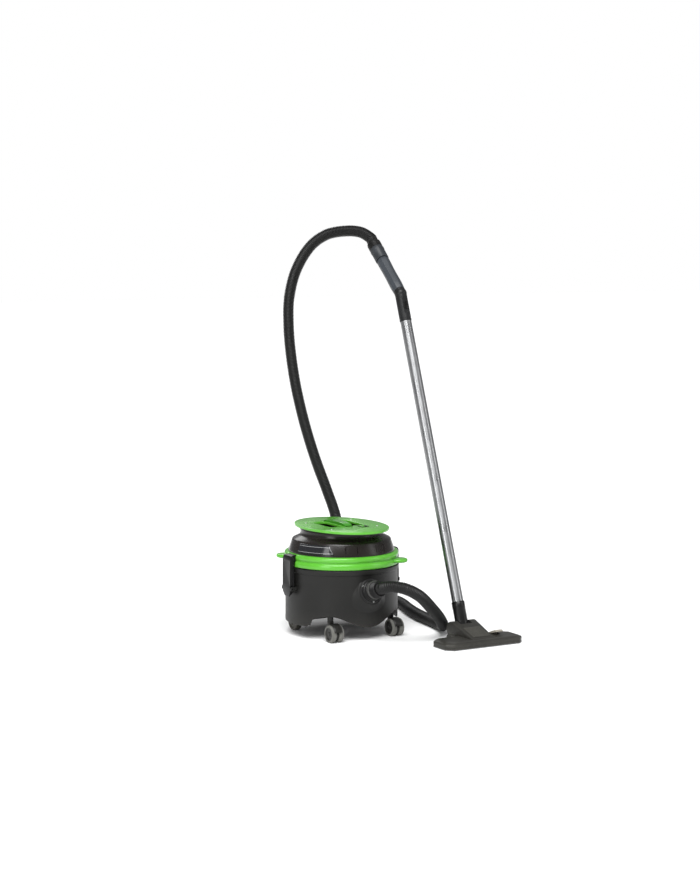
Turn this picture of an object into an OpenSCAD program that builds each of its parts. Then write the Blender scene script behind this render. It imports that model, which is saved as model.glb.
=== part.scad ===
// Tub vacuum cleaner with hose, handle, wand and combination floor tool.
// Millimetres, +Z up, front of the tub (its hose inlet) towards -Y.
// The origin is on the floor, in the middle of the footprint of the machine and its wand.

/* [Tub] */
// Outer radius of the drum wall
drum_r = 172; // [150:1:210]
// Thickness of the drum's moulded walls
drum_wall = 3.5; // [2.5:0.1:5]
// Height of the drum's rim above the floor
rim_z = 213; // [195:1:240]
// Height of the underside of the drum's inner floor
deck_z = 78; // [76:1:95]
// Height of the inlet's centre above the floor
inlet_z = 150; // [140:1:160]
// Upward tilt of the inlet, degrees
inlet_tilt = 15; // [0:1:20]

/* [Head] */
// Height of the green lid ring
ring_h = 38; // [34:1:44]
// Height of the motor cover's skirt
skirt_h = 38; // [30:1:50]
// Radius of the neck that the cable winds round
neck_r = 127; // [115:1:135]
// Height of the neck, from the skirt's shoulder to its top
neck_h = 32; // [24:1:44]
// Length of the top plate, front to back
plate_len = 370; // [330:2:390]
// Width of the top plate
plate_w = 258; // [236:2:280]
// Thickness of the top plate
plate_t = 7; // [5:0.5:10]

/* [Running gear] */
// Radius of a castor wheel
castor_wheel_r = 26; // [22:0.5:32]
// Width of one castor wheel
castor_wheel_w = 15; // [12:0.5:18]
// Distance from a castor's swivel axis to its axle
castor_trail = 24; // [16:1:26]
// Radius of a rear wheel
rear_wheel_r = 30; // [26:0.5:36]
// Width of a rear wheel
rear_wheel_w = 20; // [14:0.5:24]
// Radius of the rear axle
rear_axle_r = 4; // [3:0.5:6]

/* [Hose and wand] */
// Outer diameter of the corrugated hose
hose_d = 36; // [32:1:38]
// Outer diameter of the aluminium wand tube
wand_d = 35; // [32:0.5:42]
// Length of the wand tube
wand_len = 931; // [760:1:1100]
// Lean of the wand from the vertical, degrees
wand_lean = 20; // [15:0.5:25]
// Bend between the wand and the hand grip, degrees
grip_bend = 27; // [20:1:35]

/* [Floor tool] */
// Width of the floor tool
nozzle_w = 272; // [240:1:320]
// Depth of the floor tool, front to back
nozzle_d = 105; // [95:1:120]
// Height of the floor tool's front edge
nozzle_h = 22; // [20:1:26]

/* [Hidden] */

$fn = 96;
eps = 0.01;
run_gap = 0.05;   // radial clearance of a pin that turns in its bore
side_gap = 0.6;   // gap beside a moving piece
seat_gap = 0.3;   // gap between the lid's pieces and the drum

// Heights up the head, each from the one below it
ring_z = rim_z + 2;
ring_top = ring_z + ring_h;
shoulder_z = ring_top + skirt_h;
slope_h = 12;
neck_top = shoulder_z + neck_h;
plate_z = neck_top;

// Drum
collar_h = 15;
collar_r = drum_r + 3.5;
drum_inner_r = drum_r - drum_wall;
skirt_low = 40;
skirt_side = 45;
deck_top = deck_z + drum_wall;
lobe_z = 40;
arch_z = 75;

// Inlet, along its own axis from the drum wall
boss_r = 41;
boss_out = 6;
flange_r = 35;
flange_t = 6;
inlet_tube_r = 25;
inlet_bore_r = 21.5;
inlet_collar_r = 29;
inlet_out = boss_out + flange_t + 16;
cuff_r = hose_d / 2 + 6;
cuff_len = 36;
cuff_end = inlet_out + cuff_len;
screw_pcd_r = 32;

// Castors
castor_angle = 42;
castor_pcr = drum_r - 15.5;
stem_r = 5;
socket_r = 12;
socket_low = 2 * castor_wheel_r + 10;
stem_top = deck_z + 8;
web_w = 9;
castor_axle_r = 3;
hub_r = castor_wheel_r - 6;
wheel_off = web_w / 2 + side_gap + castor_wheel_w / 2;
hood_gap = 0.8;
hood_t = 2.2;

// Rear wheels
rear_y = drum_r - 84;
rear_x = drum_r - 58;
rear_rib_t = 5;
rear_rib_off = rear_wheel_w / 2 + side_gap + rear_rib_t / 2;
rear_arch_gap = 4;
rear_arch_t = 4;
rear_axle_len = 2 * (rear_x + rear_rib_off + rear_rib_t / 2);

// Latches
latch_w = 46;
latch_px = drum_r + 14;
latch_pz = inlet_z;
latch_pin_r = 2.5;
latch_in = collar_r + 1.4;
latch_out = drum_r + 19;
latch_tail = 24;
latch_top = ring_top - 2;
nose_in = drum_r - 4;
nose_low = latch_top - 18;
nose_slope = 0.222;   // sideways travel of the nose for each unit of lid lift
lug_t = 6;

// Lid ring
ring_r = collar_r + 0.5;
tongue_r = ring_r + 32;
tongue_w = 58;
tongue_t = 7;
tongue_z = ring_z + 9;
lid_deck_t = 4;
lid_deck_z = ring_z + 4;
lid_hole_r = 46;

// Motor cover
skirt_r = drum_r - 10;
skirt_top_r = skirt_r - 12;
cover_t = 3;
gland_r = 9;
gland_bore_r = 3.9;
gland_z = shoulder_z - 19;
panel_t = 3;
panel_from = -83;
panel_to = -38;

// Top plate
bar_w = 30;
bar_h = 9;
hole_w = 44;
hole_len = 118;
hole_y = 20;
well_t = 2.5;
well_depth = 20;
plate_screw_r = 112;
switch_x = 38;
switch_y = -66;
switch_w = 20;
switch_l = 30;
rocker_tilt = 8;

// Motor, on the tub's axis
motor_z = lid_deck_z + lid_deck_t + 4;
fan_r = 62;
fan_h = 34;
stator_r = 46;
stator_h = 36;
shaft_r = 4;
bearing_r = 11;
bearing_h = 7;
motor_t = 2.5;
motor_top = motor_z + fan_h + stator_h;
armature_r = 28;

// Filter under the lid
filter_r = drum_inner_r - 48.5;
filter_h = 74;
filter_low = lid_deck_z - filter_h;

// Wand, measured along its axis from the floor tool's pivot
wand_x = 250;
pivot_y = -296;
pivot_z = 34;
neck_len = 81;
neck_sleeve_r = wand_d / 2 + 2.2;
wand_from = 36;
wand_to = wand_from + wand_len;
wand_t = 1.5;
spigot_in = 40;
handle_r = wand_d / 2 + 1;
air_r = wand_d / 2 - 3.5;
elbow_s = wand_to + 91;
knuckle_r = 19;
knuckle_w = 46;

// Hand grip, measured along its axis from the elbow
grip_len = 150;
grip_r = handle_r + 0.5;
spigot_r = grip_r - 2;
sleeve_from = grip_len + 1;
sleeve_len = 50;
sleeve_r = spigot_r + 5.5;
end_cuff_len = 26;
end_cuff_r = max(hose_d / 2 + 3, spigot_r + 4);
end_cuff_from = sleeve_from + sleeve_len + 1;
hose_from = end_cuff_from + end_cuff_len;

// Bleed slider on the handle's neck
bleed_mid = wand_to + 48;
bleed_hole_r = 5;
slider_w = 15;
slider_l = 24;

// Floor tool, centred on the wand
nozzle_y = pivot_y - 29.5 - nozzle_d / 2;
nozzle_t = 2.5;
nozzle_cut = 20;
sole_t = 2.5;
hood_w = 88;
mouth_w = nozzle_w - 40;
mouth_d = 16;
mouth_y = nozzle_y - 22;
knuckle_pin_r = 4;
small_wheel_r = 12;
small_wheel_w = 7;
small_wheel_x = 58;
small_wheel_y = nozzle_y + nozzle_d / 2 + 4;
pedal_x = 72;
pedal_y = nozzle_y + 14;
pedal_z = 24;
pedal_w = 26;
pedal_len = 36;
strip_y = 37;

// Place of the tub's axis in the frame, from the edges of the whole footprint
grip_lean = wand_lean + grip_bend;
grip_back = pivot_y + elbow_s * sin(wand_lean) + (grip_len + sleeve_len + 11) * sin(grip_lean) + spigot_r * cos(grip_lean);
tub_x = -(wand_x + nozzle_w / 2 - latch_out) / 2;
tub_y = -(nozzle_y - nozzle_d / 2 + round(grip_back)) / 2;

// Route of the hose's centre line, from the tub's cuff to the handle's cuff
route = [
    [12, -278, 178], [46, -300, 172], [92, -306, 147], [142, -292, 104], [188, -262, 66], [226, -222, 36], [254, -176, 22],
    [268, -128, 19], [278, -70, 19], [287, -10, 19], [302, 60, 19], [322, 130, 19], [344, 196, 19],
    [358, 256, 19], [352, 318, 19], [312, 364, 20], [258, 374, 36], [214, 354, 78], [186, 328, 142],
    [168, 312, 220], [152, 304, 308], [130, 322, 392], [108, 350, 480], [90, 374, 565], [76, 396, 650],
    [64, 414, 740], [56, 428, 835], [54, 438, 925], [58, 440, 1010], [74, 424, 1096], [106, 392, 1170],
    [148, 358, 1210], [194, 320, 1222], [231, 284, 1219]
];
hose_sides = 10;
hose_steps = 2;

function unit(v) = v / norm(v);

// A point at u of the way from p[i] to p[i + 1], on a smooth curve through all the points
function smooth(p, i, u) =
    let (a = p[max(i - 1, 0)], b = p[i], c = p[i + 1], d = p[min(i + 2, len(p) - 1)])
    0.5 * (2 * b + (c - a) * u + (2 * a - 5 * b + 4 * c - d) * u * u + (3 * b - a - 3 * c + d) * u * u * u);

function smooth_path(p, n) = [
    for (i = [0 : len(p) - 2]) for (k = [0 : n - 1]) smooth(p, i, k / n),
    p[len(p) - 1]
];

function tangent(p, i) = unit(p[min(i + 1, len(p) - 1)] - p[max(i - 1, 0)]);

// Side directions carried along the path without twist
function carried(p, side, i = 0) =
    i == len(p) ? [] :
    let (t = tangent(p, i), s = unit(side - (side * t) * t))
    concat([s], carried(p, s, i + 1));

module swept_tube(p, r, sides) {
    s = carried(p, [0, 0, 1]);
    rings = [for (i = [0 : len(p) - 1]) let (a = s[i], b = cross(tangent(p, i), a))
        for (k = [0 : sides - 1]) p[i] + r * (a * cos(360 * k / sides) + b * sin(360 * k / sides))];
    last = (len(p) - 1) * sides;
    polyhedron(rings, concat(
        [[for (k = [0 : sides - 1]) k]],
        [for (i = [0 : len(p) - 2]) for (k = [0 : sides - 1])
            let (m = (k + 1) % sides) [i * sides + k, (i + 1) * sides + k, (i + 1) * sides + m, i * sides + m]],
        [[for (k = [sides - 1 : -1 : 0]) last + k]]
    ));
}

// Frames: the tub's axis, the inlet's axis, the wand's and the grip's
module tub() translate([tub_x, tub_y, 0]) children();
module inlet() tub() translate([0, -drum_r, inlet_z]) rotate([90 - inlet_tilt, 0, 0]) children();
module wand() tub() translate([wand_x, pivot_y, pivot_z]) rotate([-wand_lean, 0, 0]) children();
module grip() wand() translate([0, 0, elbow_s]) rotate([-grip_bend, 0, 0]) children();
module nozzle() tub() translate([wand_x, 0, 0]) children();
module castor(side) tub() rotate(side * castor_angle) translate([0, -castor_pcr, 0]) rotate(-side * castor_angle) children();
module castor_wheel_at(side, end) castor(side) translate([end * wheel_off, -castor_trail, castor_wheel_r]) children();

function inlet_point(d) = [0, -drum_r - d * cos(inlet_tilt), inlet_z + d * sin(inlet_tilt)];
function grip_point(d) =
    [wand_x, pivot_y + elbow_s * sin(wand_lean) + d * sin(grip_lean), pivot_z + elbow_s * cos(wand_lean) + d * cos(grip_lean)];

module x_cyl(r, w) rotate([0, 90, 0]) cylinder(h = w, r = r, center = true);
module ring(r_out, r_in, h) difference() {
    cylinder(h = h, r = r_out);
    translate([0, 0, -1]) cylinder(h = h + 2, r = r_in);
}
module box(x0, x1, y0, y1, z0, z1) translate([x0, y0, z0]) cube([x1 - x0, y1 - y0, z1 - z0]);

// ---- Tub ----

// Lower edge of the drum's front: a lobe between two arches over the castors
function edge_z(a) =
    abs(a) < castor_angle ? (arch_z + lobe_z) / 2 - (arch_z - lobe_z) / 2 * cos(180 * abs(a) / castor_angle) :
    abs(a) < 61 ? arch_z - 13 * (1 - cos(90 * (abs(a) - castor_angle) / 19)) : skirt_side;

module front_edge_cut() {
    out = drum_r + 10;
    difference() {
        translate([0, -drum_r * cos(66), 0]) rotate([90, 0, 0]) linear_extrude(drum_r) polygon(concat(
            [[-out, 0], [out, 0], [out, skirt_side]],
            [for (a = [66 : -3 : -66]) [drum_r * sin(a), edge_z(a)]],
            [[-out, skirt_side]]
        ));
        cylinder(h = 2 * deck_z, r = drum_inner_r - 1, center = true);
    }
}

module drum_shell() rotate_extrude($fn = 180) polygon([
    [0, deck_z], [drum_r, deck_z], [drum_r, rim_z - collar_h], [collar_r, rim_z - collar_h + 3], [collar_r, rim_z],
    [drum_inner_r, rim_z], [drum_inner_r, deck_top], [0, deck_top]
]);

// Blister and flat seat round the inlet, outside the drum's bore
module inlet_boss() difference() {
    translate([0, -drum_r, inlet_z]) rotate([90 - inlet_tilt, 0, 0]) {
        translate([0, 0, -26]) cylinder(h = 26 + boss_out, r = boss_r);
        translate([0, 0, -18]) cylinder(h = 19, r1 = 66, r2 = boss_r);
    }
    translate([0, 0, deck_top]) cylinder(h = rim_z, r = drum_inner_r);
}

module rear_housing(s) {
    translate([s * rear_x, rear_y, 0]) {
        intersection() {
            translate([0, 0, rear_wheel_r])
                x_cyl(rear_wheel_r + rear_arch_gap + rear_arch_t, 2 * rear_rib_off + rear_rib_t);
            box(-60, 60, -60, 60, skirt_low, deck_z);
        }
        for (e = [-1, 1]) {
            box(e * rear_rib_off - rear_rib_t / 2, e * rear_rib_off + rear_rib_t / 2, -18, 18, rear_wheel_r, deck_z);
            translate([e * rear_rib_off, 0, rear_wheel_r]) x_cyl(12, rear_rib_t);
        }
    }
}

module latch_lug(s, e) translate([s * latch_px, e * (latch_w / 2 + side_gap + lug_t / 2), latch_pz]) {
    rotate([90, 0, 0]) cylinder(h = lug_t, r = 6, center = true);
    box(s > 0 ? -22 : 0, s > 0 ? 0 : 22, -lug_t / 2, lug_t / 2, -6, 6);
}

module drum() color("#2b2b29") tub() difference() {
    union() {
        drum_shell();
        inlet_boss();
        for (s = [-1, 1]) {
            rotate(s * castor_angle) translate([0, -castor_pcr, socket_low])
                cylinder(h = deck_z - socket_low + 1, r = socket_r + 2);
            rotate(s * castor_angle) translate([0, -castor_pcr, deck_top - 1]) cylinder(h = 9, r = socket_r);
            for (e = [-1, 1]) latch_lug(s, e);
        }
    }
    front_edge_cut();
    translate([0, -drum_r, inlet_z]) rotate([90 - inlet_tilt, 0, 0]) {
        translate([0, 0, -60]) cylinder(h = 90, r = inlet_tube_r);
        translate([0, 0, boss_out]) cylinder(h = 30, r = flange_r + 3 + seat_gap);
        for (a = [90 : 120 : 330]) rotate(a) translate([screw_pcd_r, 0, boss_out - 9]) cylinder(h = 10, r = 1.5);
    }
    for (s = [-1, 1]) {
        rotate(s * castor_angle) translate([0, -castor_pcr, socket_low - 1])
            cylinder(h = stem_top + 3.5 - socket_low, r = socket_r - 3);
        translate([s * latch_px, 0, latch_pz]) rotate([90, 0, 0])
            cylinder(h = latch_w + 30, r = latch_pin_r, center = true);
    }
}

// Skirt welded under the drum, with the housings that carry the rear axle
module base_skirt() color("#2b2b29") tub() difference() {
    union() {
        translate([0, 0, skirt_low]) ring(drum_r, drum_inner_r, deck_z - skirt_low);
        for (s = [-1, 1]) rear_housing(s);
    }
    front_edge_cut();
    for (s = [-1, 1]) {
        rotate(s * castor_angle) translate([0, -castor_pcr, skirt_low]) cylinder(h = deck_z, r = socket_r + 2 + seat_gap);
        translate([s * rear_x, rear_y, rear_wheel_r]) x_cyl(rear_wheel_r + rear_arch_gap, rear_wheel_w + 2 * side_gap);
    }
    translate([0, rear_y, rear_wheel_r]) x_cyl(rear_axle_r, rear_axle_len + 1);
}

module inlet_fitting() color("#1d1d1c") inlet() difference() {
    union() {
        translate([0, 0, boss_out]) cylinder(h = flange_t, r1 = flange_r + 3, r2 = flange_r);
        translate([0, 0, -24]) cylinder(h = boss_out + 25, r = inlet_tube_r);
        translate([0, 0, boss_out]) cylinder(h = inlet_out - boss_out, r = inlet_collar_r);
    }
    translate([0, 0, -30]) cylinder(h = inlet_out + 40, r = inlet_bore_r);
    for (a = [90 : 120 : 330]) rotate(a) translate([screw_pcd_r, 0, 0]) cylinder(h = 30, r = 1.5);
}

module inlet_screws() color("silver") inlet() for (a = [90 : 120 : 330])
    rotate(a) translate([screw_pcd_r, 0, 0]) {
        translate([0, 0, boss_out - 8]) cylinder(h = flange_t + 9, r = 1.5);
        translate([0, 0, boss_out + flange_t]) cylinder(h = 2, r = 2.9);
    }

module castor_sockets() color("dimgray") for (s = [-1, 1]) castor(s) translate([0, 0, socket_low]) difference() {
    cylinder(h = stem_top + 2.5 - socket_low, r = socket_r - 3);
    translate([0, 0, -1]) cylinder(h = stem_top + 1.5 - socket_low, r = stem_r + run_gap);
}

module rear_axle() color("silver") tub() translate([0, rear_y, rear_wheel_r]) x_cyl(rear_axle_r, rear_axle_len);

module latch_pins() color("silver") tub() for (s = [-1, 1])
    translate([s * latch_px, 0, latch_pz]) rotate([90, 0, 0])
        cylinder(h = latch_w + 2 * (side_gap + lug_t), r = latch_pin_r, center = true);

module rear_wheel(s) color("#3a3a38") tub() translate([s * rear_x, rear_y, rear_wheel_r]) difference() {
    union() {
        x_cyl(rear_wheel_r - 1.5, rear_wheel_w);
        x_cyl(rear_wheel_r, rear_wheel_w - 3);
    }
    x_cyl(rear_axle_r + run_gap, rear_wheel_w + 2);
    for (e = [-1, 1]) translate([e * rear_wheel_w / 2, 0, 0]) difference() {
        x_cyl(rear_wheel_r - 7, 6);
        x_cyl(rear_axle_r + 5, 8);
    }
}
module rear_wheel_left() rear_wheel(-1);
module rear_wheel_right() rear_wheel(1);

// A clip that hooks over the lid ring; its nose slopes like the ring's notch
module latch(s) color("#1b1b1a") tub() scale_side(s) difference() {
    rotate([90, 0, 0]) linear_extrude(latch_w, center = true) polygon([
        [latch_in, latch_pz - 8], [latch_px + 2, latch_pz - latch_tail],
        [latch_out - 1, latch_pz - latch_tail], [latch_out, latch_pz], [latch_out, latch_top - 6],
        [latch_out - 7, latch_top], [nose_in, latch_top],
        [nose_in + nose_slope * (latch_top - nose_low), nose_low], [latch_in, nose_low - 6]
    ]);
    translate([latch_px, 0, latch_pz]) rotate([90, 0, 0]) cylinder(h = latch_w + 2, r = latch_pin_r + run_gap, center = true);
}
module scale_side(s) rotate(s > 0 ? 0 : 180) children();
module latch_left() latch(-1);
module latch_right() latch(1);

// ---- Castors ----

module castor_yoke(s) color("#262523") castor(s) difference() {
    union() {
        translate([0, 0, castor_wheel_r + 10]) cylinder(h = socket_low - castor_wheel_r - 11, r = 9);
        translate([0, 0, socket_low - 12]) cylinder(h = stem_top - socket_low + 12, r = stem_r);
        translate([0, -castor_trail, castor_wheel_r]) x_cyl(hub_r, web_w);
        box(-web_w / 2, web_w / 2, -castor_trail, 0, castor_wheel_r, 2 * castor_wheel_r);
        difference() {
            translate([0, -castor_trail, castor_wheel_r]) x_cyl(castor_wheel_r + hood_gap + hood_t, 27);
            translate([0, -castor_trail, castor_wheel_r]) x_cyl(castor_wheel_r + hood_gap, 60);
            box(-40, 40, -castor_trail - 60, -castor_trail + 60, -10, castor_wheel_r + 6);
        }
        box(-web_w / 2, web_w / 2, -castor_trail - 6, -castor_trail + 6, castor_wheel_r, 2 * castor_wheel_r + hood_gap + 1);
    }
    translate([0, -castor_trail, castor_wheel_r]) x_cyl(castor_axle_r, web_w + 2);
    for (e = [-1, 1]) translate([e * wheel_off, -castor_trail, castor_wheel_r])
        x_cyl(castor_wheel_r + hood_gap, castor_wheel_w + 2 * side_gap);
}
module castor_yoke_left() castor_yoke(-1);
module castor_yoke_right() castor_yoke(1);

module castor_axle(s) color("silver") castor(s) translate([0, -castor_trail, castor_wheel_r])
    x_cyl(castor_axle_r, 2 * wheel_off + castor_wheel_w - 8);
module castor_axle_left() castor_axle(-1);
module castor_axle_right() castor_axle(1);

module castor_hub(s, e) color("#1c1c1b") castor_wheel_at(s, e) difference() {
    x_cyl(hub_r, castor_wheel_w);
    translate([-e * castor_wheel_w, 0, 0]) x_cyl(castor_axle_r + run_gap, 3 * castor_wheel_w - 6);
    translate([e * castor_wheel_w / 2, 0, 0]) difference() {
        x_cyl(hub_r - 3, 3);
        x_cyl(6, 5);
    }
}
module castor_hub_left_a() castor_hub(-1, -1);
module castor_hub_left_b() castor_hub(-1, 1);
module castor_hub_right_a() castor_hub(1, -1);
module castor_hub_right_b() castor_hub(1, 1);

module castor_tread(s, e) color("#8f8f8b") castor_wheel_at(s, e) difference() {
    union() {
        x_cyl(castor_wheel_r, castor_wheel_w - 3);
        x_cyl(castor_wheel_r - 1.5, castor_wheel_w);
    }
    x_cyl(hub_r, castor_wheel_w + 2);
}
module castor_tread_left_a() castor_tread(-1, -1);
module castor_tread_left_b() castor_tread(-1, 1);
module castor_tread_right_a() castor_tread(1, -1);
module castor_tread_right_b() castor_tread(1, 1);

// ---- Lid and head ----

// Two-tier band with a groove between the tiers
module ring_profile() polygon([
    [skirt_r - 14, ring_top], [ring_r - 8, ring_top], [ring_r - 4, ring_top - 1.5], [ring_r - 1.5, ring_top - 5],
    [ring_r - 1.5, ring_top - 12], [ring_r - 5, ring_top - 16], [ring_r - 5, ring_top - 19], [ring_r, ring_top - 23],
    [ring_r, ring_z + 3], [ring_r - 2, ring_z + seat_gap], [skirt_r - 6, ring_z + seat_gap], [skirt_r - 14, ring_z + 6]
]);

module lid_ring() color("#72c94b") tub() difference() {
    union() {
        rotate_extrude($fn = 180) ring_profile();
        translate([0, 0, lid_deck_z]) ring(skirt_r - 10, lid_hole_r, lid_deck_t);
        for (a = [45, 225]) rotate(a) translate([0, 0, tongue_z]) intersection() {
            ring(tongue_r, ring_r - 6, tongue_t);
            translate([0, 12 - tongue_r, -1]) {
                translate([0, 18, 0]) cylinder(h = tongue_t + 2, r = tongue_w / 2);
                box(-tongue_w / 2, tongue_w / 2, 18, 60, 0, tongue_t + 2);
            }
        }
    }
    for (s = [0, 180]) rotate(s) rotate([90, 0, 0]) linear_extrude(latch_w + 4, center = true) polygon([
        [nose_in - seat_gap, ring_top + 1], [nose_in - seat_gap, latch_top],
        [nose_in - seat_gap + nose_slope * (latch_top - nose_low), nose_low],
        [nose_in - seat_gap + nose_slope * (latch_top - nose_low), ring_z - 1],
        [ring_r + 20, ring_z - 1], [ring_r + 20, ring_top + 1]
    ]);
    for (a = [45 : 90 : 315]) rotate(a) translate([skirt_r - 9, 0, ring_top - 12]) cylinder(h = 13, r = 1.5);
}

module lid_seal() color("#111111") tub() translate([0, 0, rim_z + seat_gap])
    ring(drum_r - 0.5, drum_inner_r - 3, ring_z - rim_z);

module cover_profile(d, low) polygon([
    [0, low], [skirt_r - d, low], [skirt_r - d, ring_top + 4], [skirt_top_r - d, shoulder_z - d / 2],
    [neck_r - d, shoulder_z + slope_h - d / 2], [neck_r - d, neck_top - d], [0, neck_top - d]
]);

// The well under the carry bar that fingers reach into
module well(grow, low, high) box(
    -bar_w / 2 - hole_w - grow, bar_w / 2 + hole_w + grow,
    hole_y - hole_len / 2 - grow, hole_y + hole_len / 2 + grow, low, high);

module switch_hole(grow, low, high) translate([switch_x, switch_y, 0])
    box(-switch_w / 2 - grow, switch_w / 2 + grow, -switch_l / 2 - grow, switch_l / 2 + grow, low, high);

module motor_cover() color("#37332f") tub() difference() {
    union() {
        difference() {
            rotate_extrude($fn = 180) cover_profile(0, ring_top);
            rotate_extrude($fn = 180) cover_profile(cover_t, ring_top - 1);
        }
        translate([0, 0, ring_top]) ring(skirt_r - 1, skirt_r - 16, cover_t);
        well(well_t, neck_top - well_depth - well_t, neck_top - 1);
    }
    well(0, neck_top - well_depth, neck_top + 1);
    switch_hole(0, neck_top - well_depth, neck_top + 1);
    for (a = [-25, -12, 12, 25]) rotate(a) translate([0, -skirt_r - 6, ring_top + 8])
        rotate([-19, 0, 0]) box(-1, 1, -4, 6.8, 0, skirt_h - 14);
    translate([0, skirt_r, gland_z]) rotate([90, 0, 0]) cylinder(h = 60, r = gland_r, center = true);
    for (a = [45 : 90 : 315]) rotate(a) {
        translate([plate_screw_r, 0, neck_top - 10]) cylinder(h = 20, r = 1.5);
        translate([skirt_r - 9, 0, ring_top - 1]) cylinder(h = cover_t + 2, r = 1.5);
    }
}

module cover_screws() color("silver") tub() for (a = [45 : 90 : 315]) rotate(a)
    translate([skirt_r - 9, 0, ring_top - 11]) {
        cylinder(h = 11 + cover_t, r = 1.5);
        translate([0, 0, 11 + cover_t]) cylinder(h = 3, r = 3);
    }

module oval(w, l) polygon([for (a = [0 : 3.75 : 359]) [w / 2 * cos(a), l / 2 * sin(a)]]);

module top_plate() color("#5fd038") tub() translate([0, 0, plate_z]) difference() {
    union() {
        linear_extrude(plate_t - 2) oval(plate_w, plate_len);
        translate([0, 0, 1]) linear_extrude(plate_t - 1) oval(plate_w - 4, plate_len - 4);
        hull() for (e = [-1, 1]) {
            translate([0, hole_y + e * (hole_len / 2 + 24), 0]) cylinder(h = plate_t, r = bar_w / 2 - 2, $fn = 32);
            translate([0, hole_y + e * (hole_len / 2 - 22), 0]) cylinder(h = plate_t + bar_h, r = bar_w / 2 - 4, $fn = 32);
        }
    }
    for (s = [-1, 1]) translate([s * (bar_w + hole_w) / 2, hole_y, -1]) hull()
        for (e = [-1, 1], f = [-1, 1]) translate([f * (hole_w / 2 - 14), e * (hole_len / 2 - 14), 0])
            cylinder(h = plate_t + 30, r = 14, $fn = 32);
    switch_hole(0, -1, plate_t + 1);
    for (a = [45 : 90 : 315]) rotate(a) translate([plate_screw_r, 0, -1]) cylinder(h = plate_t + 4, r = 1.5);
}

module plate_screws() color("silver") tub() for (a = [45 : 90 : 315]) rotate(a)
    translate([plate_screw_r, 0, plate_z]) {
        translate([0, 0, -cover_t - 4]) cylinder(h = plate_t + cover_t + 4, r = 1.5);
        translate([0, 0, plate_t]) cylinder(h = 1.6, r = 3.2);
    }

// Blank raised panel on the skirt, between two directions from the front
module label_panel() color("#24262a") tub() intersection() {
    difference() {
        rotate_extrude($fn = 180) cover_profile(-panel_t, ring_top);
        rotate_extrude($fn = 180) cover_profile(0, ring_top - 1);
    }
    translate([0, 0, ring_top + 5]) linear_extrude(skirt_h - 10) polygon(concat([[0, 0]],
        [for (k = [0 : 6]) let (a = panel_from + (panel_to - panel_from) * k / 6) 1.3 * skirt_r * [sin(a), -cos(a)]]));
}

module cable_gland() color("#141414") tub() translate([0, skirt_r, gland_z]) rotate([-90, 0, 0]) difference() {
    union() {
        translate([0, 0, -14]) cylinder(h = 15, r = gland_r);
        translate([0, 0, 0.5]) cylinder(h = 5.5, r = gland_r + 3);
    }
    translate([0, 0, -20]) cylinder(h = 40, r = gland_bore_r);
}

module switch_bezel() color("#1a1a1a") tub() difference() {
    union() {
        switch_hole(0, neck_top - 14, plate_z + plate_t);
        switch_hole(1.5, plate_z + plate_t, plate_z + plate_t + 1.2);
    }
    switch_hole(-1.5, neck_top - 12, plate_z + plate_t + 3);
    translate([switch_x, switch_y, plate_z]) x_cyl(1.5 + run_gap, switch_w - 1);
}

module switch_rocker() color("#5fd038") tub() translate([switch_x, switch_y, plate_z]) rotate([rocker_tilt, 0, 0]) {
    rotate([90, 0, 90]) linear_extrude(switch_w - 4, center = true) polygon([
        [-12, plate_t], [0, plate_t - 1.6], [12, plate_t], [12, plate_t - 3], [3, -2.5], [-3, -2.5], [-12, plate_t - 3]
    ]);
    x_cyl(1.5, switch_w - 1.6);
}

// ---- Motor and filter ----

module motor_mount() color("#111111") tub() translate([0, 0, lid_deck_z + lid_deck_t])
    ring(fan_r, fan_r - 8, motor_z - lid_deck_z - lid_deck_t);

module motor_can() color("#9a9c9e") tub() translate([0, 0, motor_z]) difference() {
    union() {
        cylinder(h = fan_h, r = fan_r);
        cylinder(h = fan_h + stator_h, r = stator_r);
    }
    translate([0, 0, motor_t]) cylinder(h = fan_h - bearing_h - motor_t, r = fan_r - motor_t);
    translate([0, 0, -1]) cylinder(h = 10, r = 24);
    translate([0, 0, fan_h]) cylinder(h = stator_h - bearing_h, r = stator_r - motor_t);
    cylinder(h = fan_h + stator_h - 1, r = bearing_r);
    for (a = [0 : 45 : 315]) rotate(a) translate([stator_r - 12, 0, fan_h + stator_h - bearing_h - 1])
        cylinder(h = bearing_h + 2, r = 5);
}

module motor_bearings() color("silver") tub() for (z = [motor_z + fan_h - bearing_h, motor_top - bearing_h - 1])
    translate([0, 0, z]) ring(bearing_r, shaft_r + run_gap, bearing_h);

module motor_shaft() color("silver") tub() translate([0, 0, motor_z + motor_t + 2])
    cylinder(h = motor_top - motor_z - motor_t - 4, r = shaft_r);

module armature() color("#8a5a35") tub() translate([0, 0, motor_z + fan_h + 2])
    ring(armature_r, shaft_r, stator_h - bearing_h - 6);

module fan_impeller() color("#b8babc") tub() translate([0, 0, motor_z + motor_t + 3]) difference() {
    union() {
        cylinder(h = 2, r = fan_r - motor_t - 4);
        cylinder(h = 16, r = 9);
        for (a = [0 : 45 : 315]) rotate(a) box(7, fan_r - motor_t - 6, -0.8, 0.8, 1, 14);
    }
    translate([0, 0, -1]) cylinder(h = 20, r = shaft_r);
}

module filter_cage() color("#3c3c3a") tub() translate([0, 0, filter_low]) {
    ring(filter_r - 3, filter_r - 14, 3);
    translate([0, 0, filter_h - 3]) ring(filter_r - 3, filter_r - 14, 3);
    for (a = [0 : 30 : 330]) rotate(a) box(filter_r - 10, filter_r - 5, -3, 3, 1, filter_h - 1);
    for (a = [0, 90]) rotate(a) box(-filter_r + 8, filter_r - 8, -4, 4, 0, 3);
}

module filter_sleeve() color("#d8d4c8") tub() translate([0, 0, filter_low - 2]) difference() {
    cylinder(h = filter_h + 2, r = filter_r);
    translate([0, 0, 2]) cylinder(h = filter_h + 2, r = filter_r - 3);
}

// ---- Hose ----

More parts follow.
